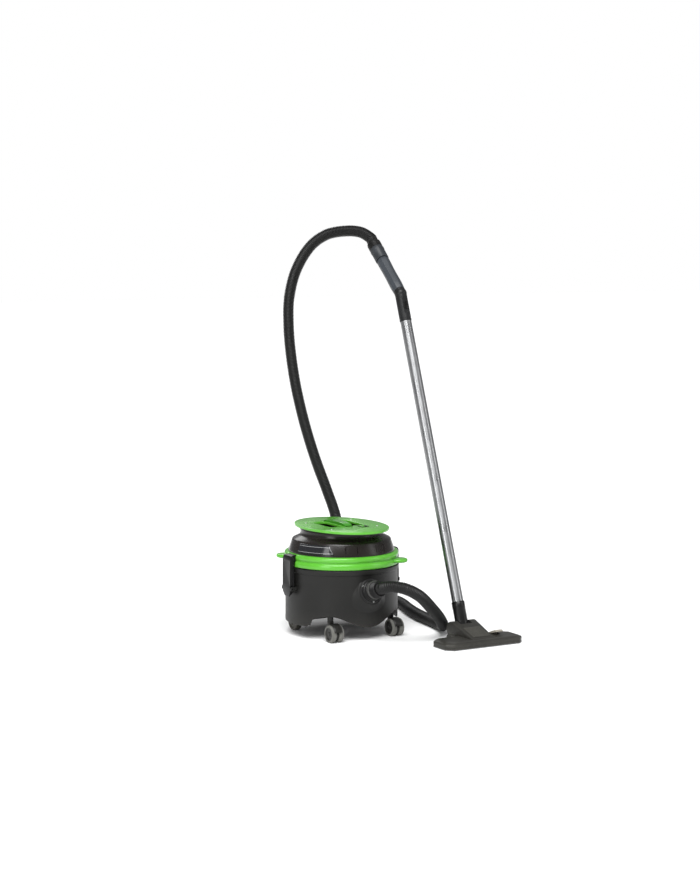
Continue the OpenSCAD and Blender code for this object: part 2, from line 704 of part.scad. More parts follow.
module hose_cuff_tub() color("#191918") inlet() difference() {
    union() {
        translate([0, 0, inlet_out]) cylinder(h = cuff_len, r = cuff_r);
        translate([0, 0, inlet_out]) cylinder(h = 7, r = cuff_r + 3);
        translate([0, 0, boss_out]) cylinder(h = inlet_out - boss_out + 1, r = inlet_bore_r);
    }
    cylinder(h = cuff_end + 1, r = inlet_bore_r - 3.5);
}

module hose() color("#1c1c1b") tub() swept_tube(smooth_path(concat(
    [for (d = [0, 8, 20]) inlet_point(cuff_end + d)], route, [for (d = [24, 10, 0]) grip_point(hose_from + d)]
), hose_steps), hose_d / 2, hose_sides);

module hose_cuff_handle() color("#1e1e1d") grip() translate([0, 0, end_cuff_from]) difference() {
    union() {
        cylinder(h = end_cuff_len, r = end_cuff_r);
        for (d = [4 : 7 : 18]) translate([0, 0, d]) cylinder(h = 3, r = end_cuff_r + 1);
    }
    translate([0, 0, -1]) cylinder(h = 11, r = spigot_r);
    cylinder(h = end_cuff_len + 1, r = air_r);
}

// ---- Handle and wand ----

module wand_tube() color("#c9cacb") wand() translate([0, 0, wand_from]) ring(wand_d / 2, wand_d / 2 - wand_t, wand_len);

module handle_neck() color("#3a3b3c") difference() {
    union() {
        wand() {
            translate([0, 0, wand_to - spigot_in]) cylinder(h = spigot_in + 1, r = wand_d / 2 - wand_t);
            translate([0, 0, wand_to]) cylinder(h = elbow_s - wand_to, r = handle_r);
            translate([0, 0, elbow_s]) sphere(r = handle_r + 0.8);
            box(-9, 9, -handle_r - 0.2, -10, bleed_mid - 24, bleed_mid + 30);
        }
        grip() cylinder(h = 12, r = handle_r);
    }
    wand() {
        translate([0, 0, wand_to - spigot_in - 1]) cylinder(h = elbow_s - wand_to + spigot_in + 1, r = air_r);
        translate([0, 0, elbow_s]) sphere(r = air_r + 0.8);
        translate([0, 0, bleed_mid]) rotate([90, 0, 0]) cylinder(h = 40, r = bleed_hole_r);
    }
    grip() cylinder(h = 13, r = air_r);
    grip() translate([0, 0, 12]) cylinder(h = 20, r = 2 * handle_r);
}

module bleed_slider() color("#232323") wand() translate([0, -handle_r - 0.2 - seat_gap, bleed_mid]) {
    box(-slider_w / 2, slider_w / 2, -2.5, 0, -slider_l / 2, slider_l / 2);
    for (z = [-8 : 4 : 8]) box(-slider_w / 2 + 1, slider_w / 2 - 1, -3.6, -2, z - 0.8, z + 0.8);
}

module handle_grip() color("#555a5f") grip() difference() {
    union() {
        translate([0, 0, 12]) linear_extrude(grip_len - 12) circle(r = grip_r + 0.8, $fn = 8);
        translate([0, 0, grip_len - 1]) cylinder(h = sleeve_len + 12, r = spigot_r);
    }
    translate([0, 0, 11]) cylinder(h = grip_len + sleeve_len + 4, r = air_r);
}

module swivel_sleeve() color("#4c5054") grip() translate([0, 0, sleeve_from]) difference() {
    union() {
        cylinder(h = sleeve_len, r = sleeve_r - 1);
        translate([0, 0, sleeve_len - 12]) cylinder(h = 8, r = sleeve_r);
    }
    translate([0, 0, -1]) cylinder(h = sleeve_len + 2, r = spigot_r + run_gap);
}

module nozzle_neck() color("#33332f") wand() difference() {
    union() {
        x_cyl(neck_sleeve_r, knuckle_w);
        cylinder(h = neck_len, r = neck_sleeve_r);
    }
    cylinder(h = neck_len, r = wand_d / 2 - 3);
    translate([0, 0, wand_from]) cylinder(h = neck_len, r = wand_d / 2);
    rotate([100, 0, 0]) cylinder(h = 40, r = 13);
    for (e = [-1, 1]) translate([e * knuckle_w / 2, 0, 0]) x_cyl(knuckle_pin_r + run_gap, 16);
}

// ---- Floor tool ----

function tool_outline(inset) =
    let (x = nozzle_w / 2 - inset, y = nozzle_d / 2 - inset, c = nozzle_cut - inset * 0.6)
    [[-x + c, -y], [x - c, -y], [x, -y + c], [x, y - c], [x - c, y], [-x + c, y], [-x, y - c], [-x, -y + c]];

hood_rear_r = neck_sleeve_r + 4.3;
hood_front_r = 6;
hood_front_y = nozzle_y - nozzle_d / 2 + 18;
hood_front_z = nozzle_h - hood_front_r;
hood_run = norm([pivot_y - hood_front_y, pivot_z - hood_front_z]);
hood_slope = atan2(pivot_z - hood_front_z, pivot_y - hood_front_y) + asin((hood_rear_r - hood_front_r) / hood_run);

module hood(less) hull() {
    translate([0, pivot_y, pivot_z]) x_cyl(hood_rear_r - less, hood_w - 2 * less, $fn = 32);
    translate([0, hood_front_y + less, hood_front_z]) x_cyl(hood_front_r - less / 2, hood_w - 12 - 2 * less, $fn = 32);
}

module pedal_slot() translate([pedal_x, pedal_y, 0]) box(-pedal_w / 2 - 1, pedal_w / 2 + 1, -8, 20, 12, nozzle_h + 5);

module nozzle_housing() color("#45453f") nozzle() difference() {
    union() {
        translate([0, nozzle_y, sole_t]) linear_extrude(nozzle_h - sole_t - 3) polygon(tool_outline(0));
        translate([0, nozzle_y, sole_t]) linear_extrude(nozzle_h - sole_t) polygon(tool_outline(3));
        hood(0);
        for (s = [-1, 1]) translate([s * small_wheel_x, small_wheel_y, small_wheel_r])
            intersection() {
                x_cyl(small_wheel_r + 3, small_wheel_w + 8);
                box(-20, 20, -20, 20, sole_t - small_wheel_r, 40);
            }
    }
    translate([0, nozzle_y, -1]) linear_extrude(nozzle_h - nozzle_t + 1) polygon(tool_outline(nozzle_t + 1));
    hood(nozzle_t);
    translate([0, pivot_y, pivot_z]) x_cyl(neck_sleeve_r + 0.5, knuckle_w + 1);
    box(-neck_sleeve_r - 1, neck_sleeve_r + 1, pivot_y - neck_sleeve_r - 1, pivot_y + 60, pivot_z - neck_sleeve_r - 1, 120);
    pedal_slot();
    for (s = [-1, 1]) translate([s * small_wheel_x, small_wheel_y, small_wheel_r]) {
        x_cyl(small_wheel_r + 1, small_wheel_w + 2 * side_gap);
        x_cyl(1.5, small_wheel_w + 10);
    }
}

module sole_plate() color("#a9abad") nozzle() difference() {
    translate([0, nozzle_y, 0]) linear_extrude(sole_t) polygon(tool_outline(0.5));
    translate([0, mouth_y, 0]) box(-mouth_w / 2, mouth_w / 2, -mouth_d / 2, mouth_d / 2, -1, 5);
    for (e = [-1, 1]) translate([0, nozzle_y + e * strip_y, 0]) box(-mouth_w / 2, mouth_w / 2, -3.5, 3.5, -1, 5);
    for (s = [-1, 1]) translate([s * small_wheel_x, small_wheel_y, 0])
        box(-small_wheel_w / 2 - 1, small_wheel_w / 2 + 1, -small_wheel_r - 2, 20, -1, 5);
}

module nozzle_panel() color("#6d6c66") nozzle()
    translate([0, hood_front_y - hood_front_r * sin(hood_slope), hood_front_z + hood_front_r * cos(hood_slope)])
        rotate([hood_slope, 0, 0]) {
            box(-30, 30, 16, 76, 0, 1.6);
            for (x = [-27 : 6 : 27]) box(x - 1, x + 1, 18, 74, 1, 2.4);
        }

module nozzle_pins() color("silver") nozzle() {
    for (e = [-1, 1]) translate([e * (knuckle_w / 2 + 2), pivot_y, pivot_z]) x_cyl(knuckle_pin_r, 18);
    for (s = [-1, 1]) translate([s * small_wheel_x, small_wheel_y, small_wheel_r]) x_cyl(1.5, small_wheel_w + 7);
    translate([pedal_x, pedal_y + 14, pedal_z - 8]) x_cyl(2, pedal_w + 8);
}

module pedal() color("#b9b4a6") nozzle() translate([pedal_x, pedal_y + 14, pedal_z - 8]) difference() {
    rotate([90, 0, 90]) linear_extrude(pedal_w, center = true) polygon([
        [-pedal_len, 16], [-pedal_len + 2, 20], [-pedal_len + 8, 21], [2, 10], [4, 4], [3, -3], [-3, -3], [-4, 6]
    ]);
    x_cyl(2 + run_gap, pedal_w + 2);
}

module brush_carrier() color("#2a2a28") nozzle() translate([0, nozzle_y, 9]) {
    for (e = [-1, 1]) box(-mouth_w / 2 + 2, mouth_w / 2 - 2, e * strip_y - 2.5, e * strip_y + 2.5, 0, 4);
    for (s = [-1, 1]) box(s * (mouth_w / 2 + 1) - 3, s * (mouth_w / 2 + 1) + 3, -strip_y - 2.5, strip_y + 2.5, 0, 4);
}

module brush_strips() color("#3b3b3b") nozzle() translate([0, nozzle_y, 3]) for (e = [-1, 1])
    box(-mouth_w / 2 + 3, mouth_w / 2 - 3, e * strip_y - 1.8, e * strip_y + 1.8, 0, 6);

module nozzle_wheel(s) color("#8f8f8b") nozzle() translate([s * small_wheel_x, small_wheel_y, small_wheel_r]) difference() {
    x_cyl(small_wheel_r, small_wheel_w);
    x_cyl(1.5 + run_gap, small_wheel_w + 2);
}
module nozzle_wheel_left() nozzle_wheel(-1);
module nozzle_wheel_right() nozzle_wheel(1);

drum();
base_skirt();
inlet_fitting();
inlet_screws();
castor_sockets();
rear_axle();
latch_pins();
hose_cuff_tub();
hose();
hose_cuff_handle();
handle_grip();
handle_neck();
wand_tube();
nozzle_neck();
swivel_sleeve();
bleed_slider();
rear_wheel_left();
rear_wheel_right();
latch_left();
latch_right();
castor_yoke_left();
castor_yoke_right();
castor_axle_left();
castor_axle_right();
castor_hub_left_a();
castor_hub_left_b();
castor_hub_right_a();
castor_hub_right_b();
castor_tread_left_a();
castor_tread_left_b();
castor_tread_right_a();
castor_tread_right_b();
lid_ring();
lid_seal();
motor_cover();
cover_screws();
top_plate();
plate_screws();
label_panel();
cable_gland();
switch_bezel();
motor_can();
motor_mount();
motor_bearings();
filter_cage();
filter_sleeve();
motor_shaft();
armature();
fan_impeller();
switch_rocker();
nozzle_housing();
sole_plate();
nozzle_panel();
nozzle_pins();
pedal();
brush_carrier();
brush_strips();
nozzle_wheel_left();
nozzle_wheel_right();
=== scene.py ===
import math

import bmesh
import bpy
from mathutils import Euler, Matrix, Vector


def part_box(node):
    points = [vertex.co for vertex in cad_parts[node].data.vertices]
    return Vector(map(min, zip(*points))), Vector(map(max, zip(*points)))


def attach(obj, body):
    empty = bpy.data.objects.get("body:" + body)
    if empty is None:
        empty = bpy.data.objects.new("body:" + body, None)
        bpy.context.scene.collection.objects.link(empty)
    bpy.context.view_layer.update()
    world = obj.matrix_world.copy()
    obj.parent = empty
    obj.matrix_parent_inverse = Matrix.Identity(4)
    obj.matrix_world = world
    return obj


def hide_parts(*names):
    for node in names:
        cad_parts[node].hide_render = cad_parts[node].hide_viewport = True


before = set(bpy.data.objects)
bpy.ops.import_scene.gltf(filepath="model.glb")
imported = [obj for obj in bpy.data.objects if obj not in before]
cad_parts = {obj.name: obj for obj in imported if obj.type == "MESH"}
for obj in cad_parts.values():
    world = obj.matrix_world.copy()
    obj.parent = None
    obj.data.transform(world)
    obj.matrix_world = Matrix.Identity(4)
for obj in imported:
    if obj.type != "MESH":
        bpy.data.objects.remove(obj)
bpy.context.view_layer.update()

# ---- The machine's own directions ----
# Everything is measured in millimetres from the tub's axis at floor level, as the parts were designed.
# The lid's seal is a ring about that axis, so its box gives the axis in the shared frame.
MM = 0.001
seal_low, seal_high = (Vector(corner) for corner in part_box("lid_seal"))
TUB = Vector(((seal_low.x + seal_high.x) / 2, (seal_low.y + seal_high.y) / 2, 0))
WAND_LEAN, GRIP_BEND, INLET_TILT = math.radians(20), math.radians(27), math.radians(15)


def at(x, y, z):
    """A point given in mm from the tub's axis, in the shared frame."""
    return TUB + Vector((x, y, z)) * MM


def leaning(angle):
    """The upright direction, leaned back towards +Y."""
    return Vector((0, math.sin(angle), math.cos(angle)))


# ---- Camera ----
# A long lens at chest height, a little above the machine and to its left.
bpy.ops.object.camera_add(
    location=at(-3002.4, -5252.5, 1200), rotation=(math.radians(84.39), 0, math.radians(-30))
)
bpy.context.object.data.lens = 82.85
bpy.context.scene.camera = bpy.context.object
bpy.context.scene.view_settings.view_transform = "Standard"


# ---- Studio ----
# A white floor under a white sky, one broad key light from the upper left and two soft panels.
# The floor and the sky both reach white, so no horizon shows behind the machine.
def srgb(colour):
    """An sRGB hex colour as linear red, green, blue and alpha."""
    parts = [int(colour[i:i + 2], 16) / 255 for i in (1, 3, 5)]
    return tuple(c / 12.92 if c <= 0.04045 else ((c + 0.055) / 1.055) ** 2.4 for c in parts) + (1.0,)


def add_node(tree, kind, settings=None, links=None):
    """Adds one node, sets its own values and sockets, and feeds its inputs from (node, output) pairs."""
    made = tree.nodes.new("ShaderNode" + kind)
    for key, value in (settings or {}).items():
        if isinstance(key, int) or key in made.inputs:
            made.inputs[key].default_value = value
        else:
            setattr(made, key, value)
    for key, (source, output) in (links or {}).items():
        tree.links.new(source.outputs[output], made.inputs[key])
    return made


def material(name):
    """A new material with an empty tree, its output node, and the piece's own coordinates."""
    made = bpy.data.materials.new(name)
    made.use_nodes = True
    tree = made.node_tree
    tree.nodes.clear()
    return made, tree, add_node(tree, "OutputMaterial"), add_node(tree, "TexCoord")


FLOOR_SIDE = 60
SKY_SEEN, SKY_LIGHT = 1.0, 0.3
bpy.ops.object.select_all(action="DESELECT")
bpy.ops.mesh.primitive_plane_add(size=FLOOR_SIDE, location=(0, 0, 0))
floor = bpy.context.object
floor.name = "studio_floor"
# Matt white painted board: an even, chalky surface with a very faint mottle
painted_board, tree, output, place = material("painted_board_matt_white")
mottle = add_node(tree, "TexNoise", {"Scale": 3.0, "Detail": 4.0}, {"Vector": (place, "Object")})
whites = add_node(tree, "ValToRGB", None, {"Fac": (mottle, "Fac")})
whites.color_ramp.elements[0].color = srgb("#f6f6f6")
whites.color_ramp.elements[1].color = srgb("#fbfbfb")
board = add_node(tree, "BsdfDiffuse", {"Roughness": 0.0}, {"Color": (whites, "Color")})
tree.links.new(board.outputs["BSDF"], output.inputs["Surface"])
floor.data.materials.append(painted_board)

sky = bpy.data.worlds.new("studio_sky")
bpy.context.scene.world = sky
sky.use_nodes = True
sky.node_tree.nodes.clear()
ray = add_node(sky.node_tree, "LightPath")
lit = add_node(sky.node_tree, "Background", {"Color": srgb("#fdfdff"), "Strength": SKY_LIGHT})
seen = add_node(sky.node_tree, "Background", {"Color": srgb("#ffffff"), "Strength": SKY_SEEN})
either = add_node(sky.node_tree, "MixShader", None, {0: (ray, "Is Camera Ray"), 1: (lit, "Background"), 2: (seen, "Background")})
add_node(sky.node_tree, "OutputWorld", None, {"Surface": (either, "Shader")})

bpy.ops.object.light_add(type="SUN", rotation=(math.radians(28), math.radians(-22), 0))
bpy.context.object.name = "key_light"
bpy.context.object.data.energy = 3.5
bpy.context.object.data.angle = math.radians(40)
for panel_name, panel_place, panel_size, panel_power in (
    ("left_panel", (-2600, -1500, 1300), (0.9, 2.2), 30),
    ("right_panel", (2300, -2300, 1500), (0.7, 2.0), 14),
    ("back_panel", (600, 2800, 1900), (2.0, 1.2), 22),
):
    aim = at(0, 0, 350) - at(*panel_place)
    bpy.ops.object.light_add(type="AREA", location=at(*panel_place), rotation=aim.to_track_quat("-Z", "Y").to_euler())
    panel = bpy.context.object
    panel.name = panel_name
    panel.data.shape = "RECTANGLE"
    panel.data.size, panel.data.size_y = panel_size
    panel.data.energy = panel_power


# ---- Hose ----
# A stretch hose of blown black EVA, folded into fine ribs by the corrugator that forms it.
# It runs from the tub's inlet along the floor, round the back, and over to the hand grip.
RIB_PITCH, HOSE_SIDES = 4.6, 20
RIB = ((0.00, 17.6), (0.22, 18.0), (0.46, 17.7), (0.60, 16.2), (0.86, 16.1))   # share of the pitch, radius
HOSE_INTO_CUFF = 6
CUFF_FROM, CUFF_LONG = 28, 36          # along the inlet's axis
CUFF_END = CUFF_FROM + CUFF_LONG
PIVOT, ELBOW_S = (250, -296, 34), 1058
HOSE_FROM = 228                        # along the grip's axis
ROUTE = (
    (12, -278, 178), (46, -300, 172), (92, -306, 147), (142, -292, 104), (188, -262, 66), (226, -222, 36), (254, -176, 22),
    (268, -128, 19), (278, -70, 19), (287, -10, 19), (302, 60, 19), (322, 130, 19), (344, 196, 19),
    (358, 256, 19), (352, 318, 19), (312, 364, 20), (258, 374, 36), (214, 354, 78), (186, 328, 142),
    (168, 312, 220), (152, 304, 308), (130, 322, 392), (108, 350, 480), (90, 374, 565), (76, 396, 650),
    (64, 414, 740), (56, 428, 835), (54, 438, 925), (58, 440, 1010), (74, 424, 1096), (106, 392, 1170),
    (148, 358, 1210), (194, 320, 1222), (231, 284, 1219),
)
inlet_axis = Vector((0, -math.cos(INLET_TILT), math.sin(INLET_TILT)))
inlet_base = at(0, -172, 150)
wand_axis = leaning(WAND_LEAN)
wand_base = at(*PIVOT)
grip_axis = leaning(WAND_LEAN + GRIP_BEND)
grip_base = wand_base + wand_axis * ELBOW_S * MM


def smooth_line(points, steps):
    """Points on one smooth curve through all of these, steps to each stretch."""
    line = []
    for i in range(len(points) - 1):
        a, b, c, d = points[max(i - 1, 0)], points[i], points[i + 1], points[min(i + 2, len(points) - 1)]
        for k in range(steps):
            u = k / steps
            line.append(0.5 * (2 * b + (c - a) * u + (2 * a - 5 * b + 4 * c - d) * u * u + (3 * b - a - 3 * c + d) * u ** 3))
    return line + [points[-1]]


hose_points = [inlet_base + inlet_axis * (CUFF_END + d) * MM for d in (-HOSE_INTO_CUFF, 8, 20)]
hose_points += [at(*p) for p in ROUTE]
hose_points += [grip_base + grip_axis * (HOSE_FROM + d) * MM for d in (24, 10, -HOSE_INTO_CUFF)]
hose_line = smooth_line(hose_points, 12)
along = [0.0]
for a, b in zip(hose_line, hose_line[1:]):
    along.append(along[-1] + (b - a).length)
rings, rings_at, stretch = [], [], 0
sideways = Vector((0, 0, 1))
for rib in range(int(along[-1] / (RIB_PITCH * MM))):
    for share, radius in RIB:
        s = (rib + share) * RIB_PITCH * MM
        while along[stretch + 1] < s:
            stretch += 1
        a, b = hose_line[stretch], hose_line[stretch + 1]
        middle = a.lerp(b, (s - along[stretch]) / (along[stretch + 1] - along[stretch]))
        before, after = hose_line[max(stretch - 3, 0)], hose_line[min(stretch + 4, len(hose_line) - 1)]
        forward = (after - before).normalized()
        sideways = (sideways - forward * sideways.dot(forward)).normalized()
        across = forward.cross(sideways)
        rings_at.append(middle)
        for k in range(HOSE_SIDES):
            turn = math.tau * k / HOSE_SIDES
            rings.append(middle + (sideways * math.cos(turn) + across * math.sin(turn)) * radius * MM)
last = (len(rings_at) - 1) * HOSE_SIDES
walls = [
    (i * HOSE_SIDES + k, i * HOSE_SIDES + (k + 1) % HOSE_SIDES, (i + 1) * HOSE_SIDES + (k + 1) % HOSE_SIDES, (i + 1) * HOSE_SIDES + k)
    for i in range(len(rings_at) - 1) for k in range(HOSE_SIDES)
]
walls += [tuple(range(HOSE_SIDES - 1, -1, -1)), tuple(range(last, last + HOSE_SIDES))]
hose_mesh = bpy.data.meshes.new("ribbed_hose")
hose_mesh.from_pydata(rings, [], walls)
hose_mesh.polygons.foreach_set("use_smooth", [True] * len(hose_mesh.polygons))
hose = bpy.data.objects.new("ribbed_hose", hose_mesh)
bpy.context.scene.collection.objects.link(hose)
# Black EVA: soft, slightly waxy, with dust lying lighter on it in patches
eva, tree, output, place = material("hose_black_eva")
dust = add_node(tree, "TexNoise", {"Scale": 22.0, "Detail": 6.0, "Roughness": 0.62}, {"Vector": (place, "Object")})
blacks = add_node(tree, "ValToRGB", None, {"Fac": (dust, "Fac")})
blacks.color_ramp.elements[0].position, blacks.color_ramp.elements[0].color = 0.42, srgb("#0a0a0a")
blacks.color_ramp.elements[1].position, blacks.color_ramp.elements[1].color = 0.72, srgb("#131312")
gloss = add_node(tree, "MapRange", {"From Min": 0.3, "From Max": 0.7, "To Min": 0.34, "To Max": 0.5}, {"Value": (dust, "Fac")})
skin = add_node(tree, "TexNoise", {"Scale": 1400.0, "Detail": 2.0}, {"Vector": (place, "Object")})
grain = add_node(tree, "Bump", {"Strength": 0.25, "Distance": 0.0002}, {"Height": (skin, "Fac")})
eva_shader = add_node(
    tree, "BsdfPrincipled", {"IOR": 1.48, "Specular IOR Level": 0.35},
    {"Base Color": (blacks, "Color"), "Roughness": (gloss, "Result"), "Normal": (grain, "Normal")},
)
tree.links.new(eva_shader.outputs["BSDF"], output.inputs["Surface"])
hose_mesh.materials.append(eva)
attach(hose, "tub")
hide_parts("hose")


# ---- Hose cuffs ----
# Black nylon mouldings: the tub's has a locking collar and finger rings, and the handle's clips over a swivel.
# The hose is screwed into both, so its last few ribs are inside them.
def turned(name, profile, base, axis, side=None, steps=96, sweep=360):
    """A piece turned about an axis. Its profile, in mm from the axis and along it, is drawn from one point and spun."""
    axis = Vector(axis).normalized()
    side = axis.orthogonal().normalized() if side is None else Vector(side).normalized()
    points = [Vector(base) + (axis * along_it + side * radius) * MM for radius, along_it in profile]
    bpy.ops.object.select_all(action="DESELECT")
    bpy.ops.mesh.primitive_plane_add(size=MM, location=points[0])
    piece = bpy.context.object
    piece.name = piece.data.name = name
    bpy.ops.object.transform_apply()
    bpy.ops.object.mode_set(mode="EDIT")
    bpy.ops.mesh.select_mode(type="VERT")
    bpy.ops.mesh.select_all(action="SELECT")
    bpy.ops.mesh.merge(type="CENTER")
    for here, there in zip(points, points[1:]):
        bpy.ops.mesh.extrude_vertices_move(TRANSFORM_OT_translate={"value": there - here})
    bpy.ops.mesh.select_all(action="SELECT")
    bpy.ops.mesh.spin(steps=steps, angle=math.radians(sweep), center=base, axis=axis)
    bpy.ops.mesh.select_all(action="SELECT")
    bpy.ops.mesh.remove_doubles(threshold=0.02 * MM)
    if sweep < 360:
        bpy.ops.mesh.fill_holes(sides=0)
        bpy.ops.mesh.select_all(action="SELECT")
    bpy.ops.mesh.normals_make_consistent(inside=False)
    bpy.ops.object.mode_set(mode="OBJECT")
    return piece


def only(*pieces):
    """Selects just these pieces, the first one active."""
    bpy.ops.object.select_all(action="DESELECT")
    for piece in pieces:
        piece.select_set(True)
    bpy.context.view_layer.objects.active = pieces[0]


def smoothed(piece, rounding=0, segments=3, sharper_than=35):
    """Rounds the piece's edges by a bevel in mm, shades it smooth between sharp edges, and settles its place in its mesh."""
    only(piece)
    if rounding:
        bevel = piece.modifiers.new("rounded_edges", "BEVEL")
        bevel.width, bevel.segments = rounding * MM, segments
        bevel.limit_method, bevel.angle_limit = "ANGLE", math.radians(sharper_than)
        bpy.ops.object.modifier_apply(modifier=bevel.name)
    bpy.ops.object.shade_smooth_by_angle(angle=math.radians(sharper_than))
    bpy.ops.object.transform_apply()
    return piece


def fit(piece, finish, body, slot, *nodes):
    """Puts a finished piece on its body with its material, in place of the CAD nodes that it stands for."""
    piece.data.materials.clear()
    piece.data.materials.append(finish)
    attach(piece, body)
    if nodes:
        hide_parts(*nodes)


def moulded(name, light, dark, roughness, grain_mm, grain_deep_mm, ior=1.5, patch_mm=70, dusty=0.0, glint=0.3):
    """A moulded plastic: two close shades in soft patches, the mould's grain, wandering gloss, and dust low down."""
    made, tree, output, place = material(name)
    patches = add_node(tree, "TexNoise", {"Scale": 1000 / patch_mm, "Detail": 6.0, "Roughness": 0.6}, {"Vector": (place, "Object")})
    shades = add_node(tree, "ValToRGB", None, {"Fac": (patches, "Fac")})
    shades.color_ramp.elements[0].position, shades.color_ramp.elements[0].color = 0.35, srgb(dark)
    shades.color_ramp.elements[1].position, shades.color_ramp.elements[1].color = 0.68, srgb(light)
    skin = add_node(tree, "TexNoise", {"Scale": 1000 / grain_mm, "Detail": 2.0, "Roughness": 0.5}, {"Vector": (place, "Object")})
    grain = add_node(tree, "Bump", {"Strength": 0.6, "Distance": grain_deep_mm * MM}, {"Height": (skin, "Fac")})
    gloss = add_node(
        tree, "MapRange",
        {"From Min": 0.3, "From Max": 0.7, "To Min": max(roughness - 0.06, 0.03), "To Max": roughness + 0.08},
        {"Value": (patches, "Fac")},
    )
    colour = (shades, "Color")
    if dusty:
        spot = add_node(tree, "SeparateXYZ", None, {"Vector": (place, "Object")})
        low = add_node(tree, "MapRange", {"From Min": 0.0, "From Max": 0.09, "To Min": dusty, "To Max": 0.0}, {"Value": (spot, "Z")})
        motes = add_node(tree, "TexNoise", {"Scale": 90.0, "Detail": 8.0, "Roughness": 0.7}, {"Vector": (place, "Object")})
        settled = add_node(tree, "Math", {"operation": "MULTIPLY"}, {0: (low, "Result"), 1: (motes, "Fac")})
        dust = add_node(tree, "Mix", {"data_type": "RGBA", 7: srgb("#8a857b")}, {0: (settled, "Value"), 6: colour})
        colour = (dust, 2)
    shader = add_node(tree, "BsdfPrincipled", {"IOR": ior, "Specular IOR Level": glint}, {"Roughness": (gloss, "Result"), "Normal": (grain, "Normal")})
    tree.links.new(colour[0].outputs[colour[1]], shader.inputs["Base Color"])
    tree.links.new(shader.outputs["BSDF"], output.inputs["Surface"])
    return made


# Glass-filled nylon: black, satin, with the fine even grain of a spark-eroded mould
black_nylon = moulded("cuff_black_nylon", "#111111", "#0b0b0b", 0.38, 0.6, 0.03, ior=1.53)
# The locking collar is the same nylon coloured mid grey, so it reads as a paler ring
grey_nylon = moulded("collar_grey_nylon", "#474745", "#3a3a39", 0.36, 0.6, 0.03, ior=1.53)
cuff_rings = [
    point for start in range(39, 60, 5)
    for point in ((23.5, start), (24.8, start + 0.9), (24.8, start + 2.6), (23.5, start + 3.5))
]
tub_cuff = smoothed(turned(
    "tub_cuff",
    [(18.2, 34), (24.4, 34), (24.4, 37.4)] + cuff_rings + [(23.3, 63), (22.4, 64.4), (18.2, 64.4), (18.2, 34)],
    inlet_base, inlet_axis,
))
fit(tub_cuff, black_nylon, "tub", "dark_plastic", "hose_cuff_tub")
locking_collar = smoothed(turned(
    "locking_collar",
    [(24.5, 28), (26.6, 28), (27.5, 28.9), (27.7, 31.5), (27.5, 35.6), (26.6, 36.6), (24.5, 36.6), (24.5, 28)],
    inlet_base, inlet_axis,
))
fit(locking_collar, grey_nylon, "tub", "dark_plastic")
clip_rings = [
    point for start in (206, 213, 220)
    for point in ((21.0, start - 0.6), (22.0, start), (22.0, start + 2.6), (21.0, start + 3.2))
]
handle_cuff = smoothed(turned(
    "handle_cuff",
    [(17.1, 202), (20.2, 202), (21.0, 202.8)] + clip_rings + [(20.8, 226.6), (19.8, 228), (18.2, 228), (18.2, 213), (17.1, 213), (17.1, 202)],
    grip_base, grip_axis,
))
fit(handle_cuff, black_nylon, "tub", "dark_plastic", "hose_cuff_handle")


# ---- Drum ----
# One charcoal polypropylene moulding with a stepped rim, and a lobed skirt welded under its deck.
# The castors stand in two arches at the front, and the rear axle's housings come through the skirt.
DRUM_R, DRUM_IN_R, RIM_Z, DECK_Z = 172, 168.5, 213, 78
SKIRT_LOW, LOBE_Z, ARCH_Z, CASTOR_ANGLE = 40, 40, 75, 42
DRUM_STEPS = 160


def pick(piece, test, kind="VERT"):
    """In edit mode, selects just the piece's vertices, edges or faces that pass the test."""
    bpy.ops.mesh.select_mode(type=kind)
    bpy.ops.mesh.select_all(action="DESELECT")
    shape = bmesh.from_edit_mesh(piece.data)
    for part in {"VERT": shape.verts, "EDGE": shape.edges, "FACE": shape.faces}[kind]:
        if test(part):
            part.select_set(True)
    shape.select_flush_mode()
    bmesh.update_edit_mesh(piece.data)


def cut_by(piece, *cutters):
    """Cuts each of these shapes out of the piece, and removes it."""
    for cutter in cutters:
        only(piece)
        hollow = piece.modifiers.new("cut", "BOOLEAN")
        hollow.operation, hollow.object, hollow.solver = "DIFFERENCE", cutter, "EXACT"
        bpy.ops.object.modifier_apply(modifier=hollow.name)
        bpy.data.objects.remove(cutter)
    return piece


def joined(*pieces):
    """These pieces as one, named as the first."""
    only(*pieces)
    bpy.ops.object.join()
    return pieces[0]


def rod(name, radius, length, middle, axis, vertices=64):
    """A plain round bar to cut with or to shape further, in mm about its middle."""
    bpy.ops.object.select_all(action="DESELECT")
    bpy.ops.mesh.primitive_cylinder_add(
        vertices=vertices, radius=radius * MM, depth=length * MM, location=middle,
        rotation=Vector(axis).to_track_quat("Z", "Y").to_euler(),
    )
    bpy.context.object.name = name
    bpy.ops.object.transform_apply()
    return bpy.context.object


def block(name, low, high):
    """A plain block to cut with or to shape further, between two corners in mm from the tub's axis."""
    low, high = at(*low), at(*high)
    bpy.ops.object.select_all(action="DESELECT")
    bpy.ops.mesh.primitive_cube_add(size=1, location=(low + high) / 2, scale=high - low)
    bpy.context.object.name = name
    bpy.ops.object.transform_apply()
    return bpy.context.object


def front_angle(point):
    """How far round from the front a point is, in degrees."""
    return abs(math.degrees(math.atan2(point.x - TUB.x, TUB.y - point.y)))


def skirt_edge(angle):
    """Height of the skirt's lower edge: a lobe between two arches, then a step down to the sides."""
    if angle < CASTOR_ANGLE:
        return (ARCH_Z + LOBE_Z) / 2 - (ARCH_Z - LOBE_Z) / 2 * math.cos(math.pi * angle / CASTOR_ANGLE)
    if angle < 61:
        return ARCH_Z - 13 * (1 - math.cos(math.pi / 2 * (angle - CASTOR_ANGLE) / 19))
    return 45 if angle < 66 else SKIRT_LOW


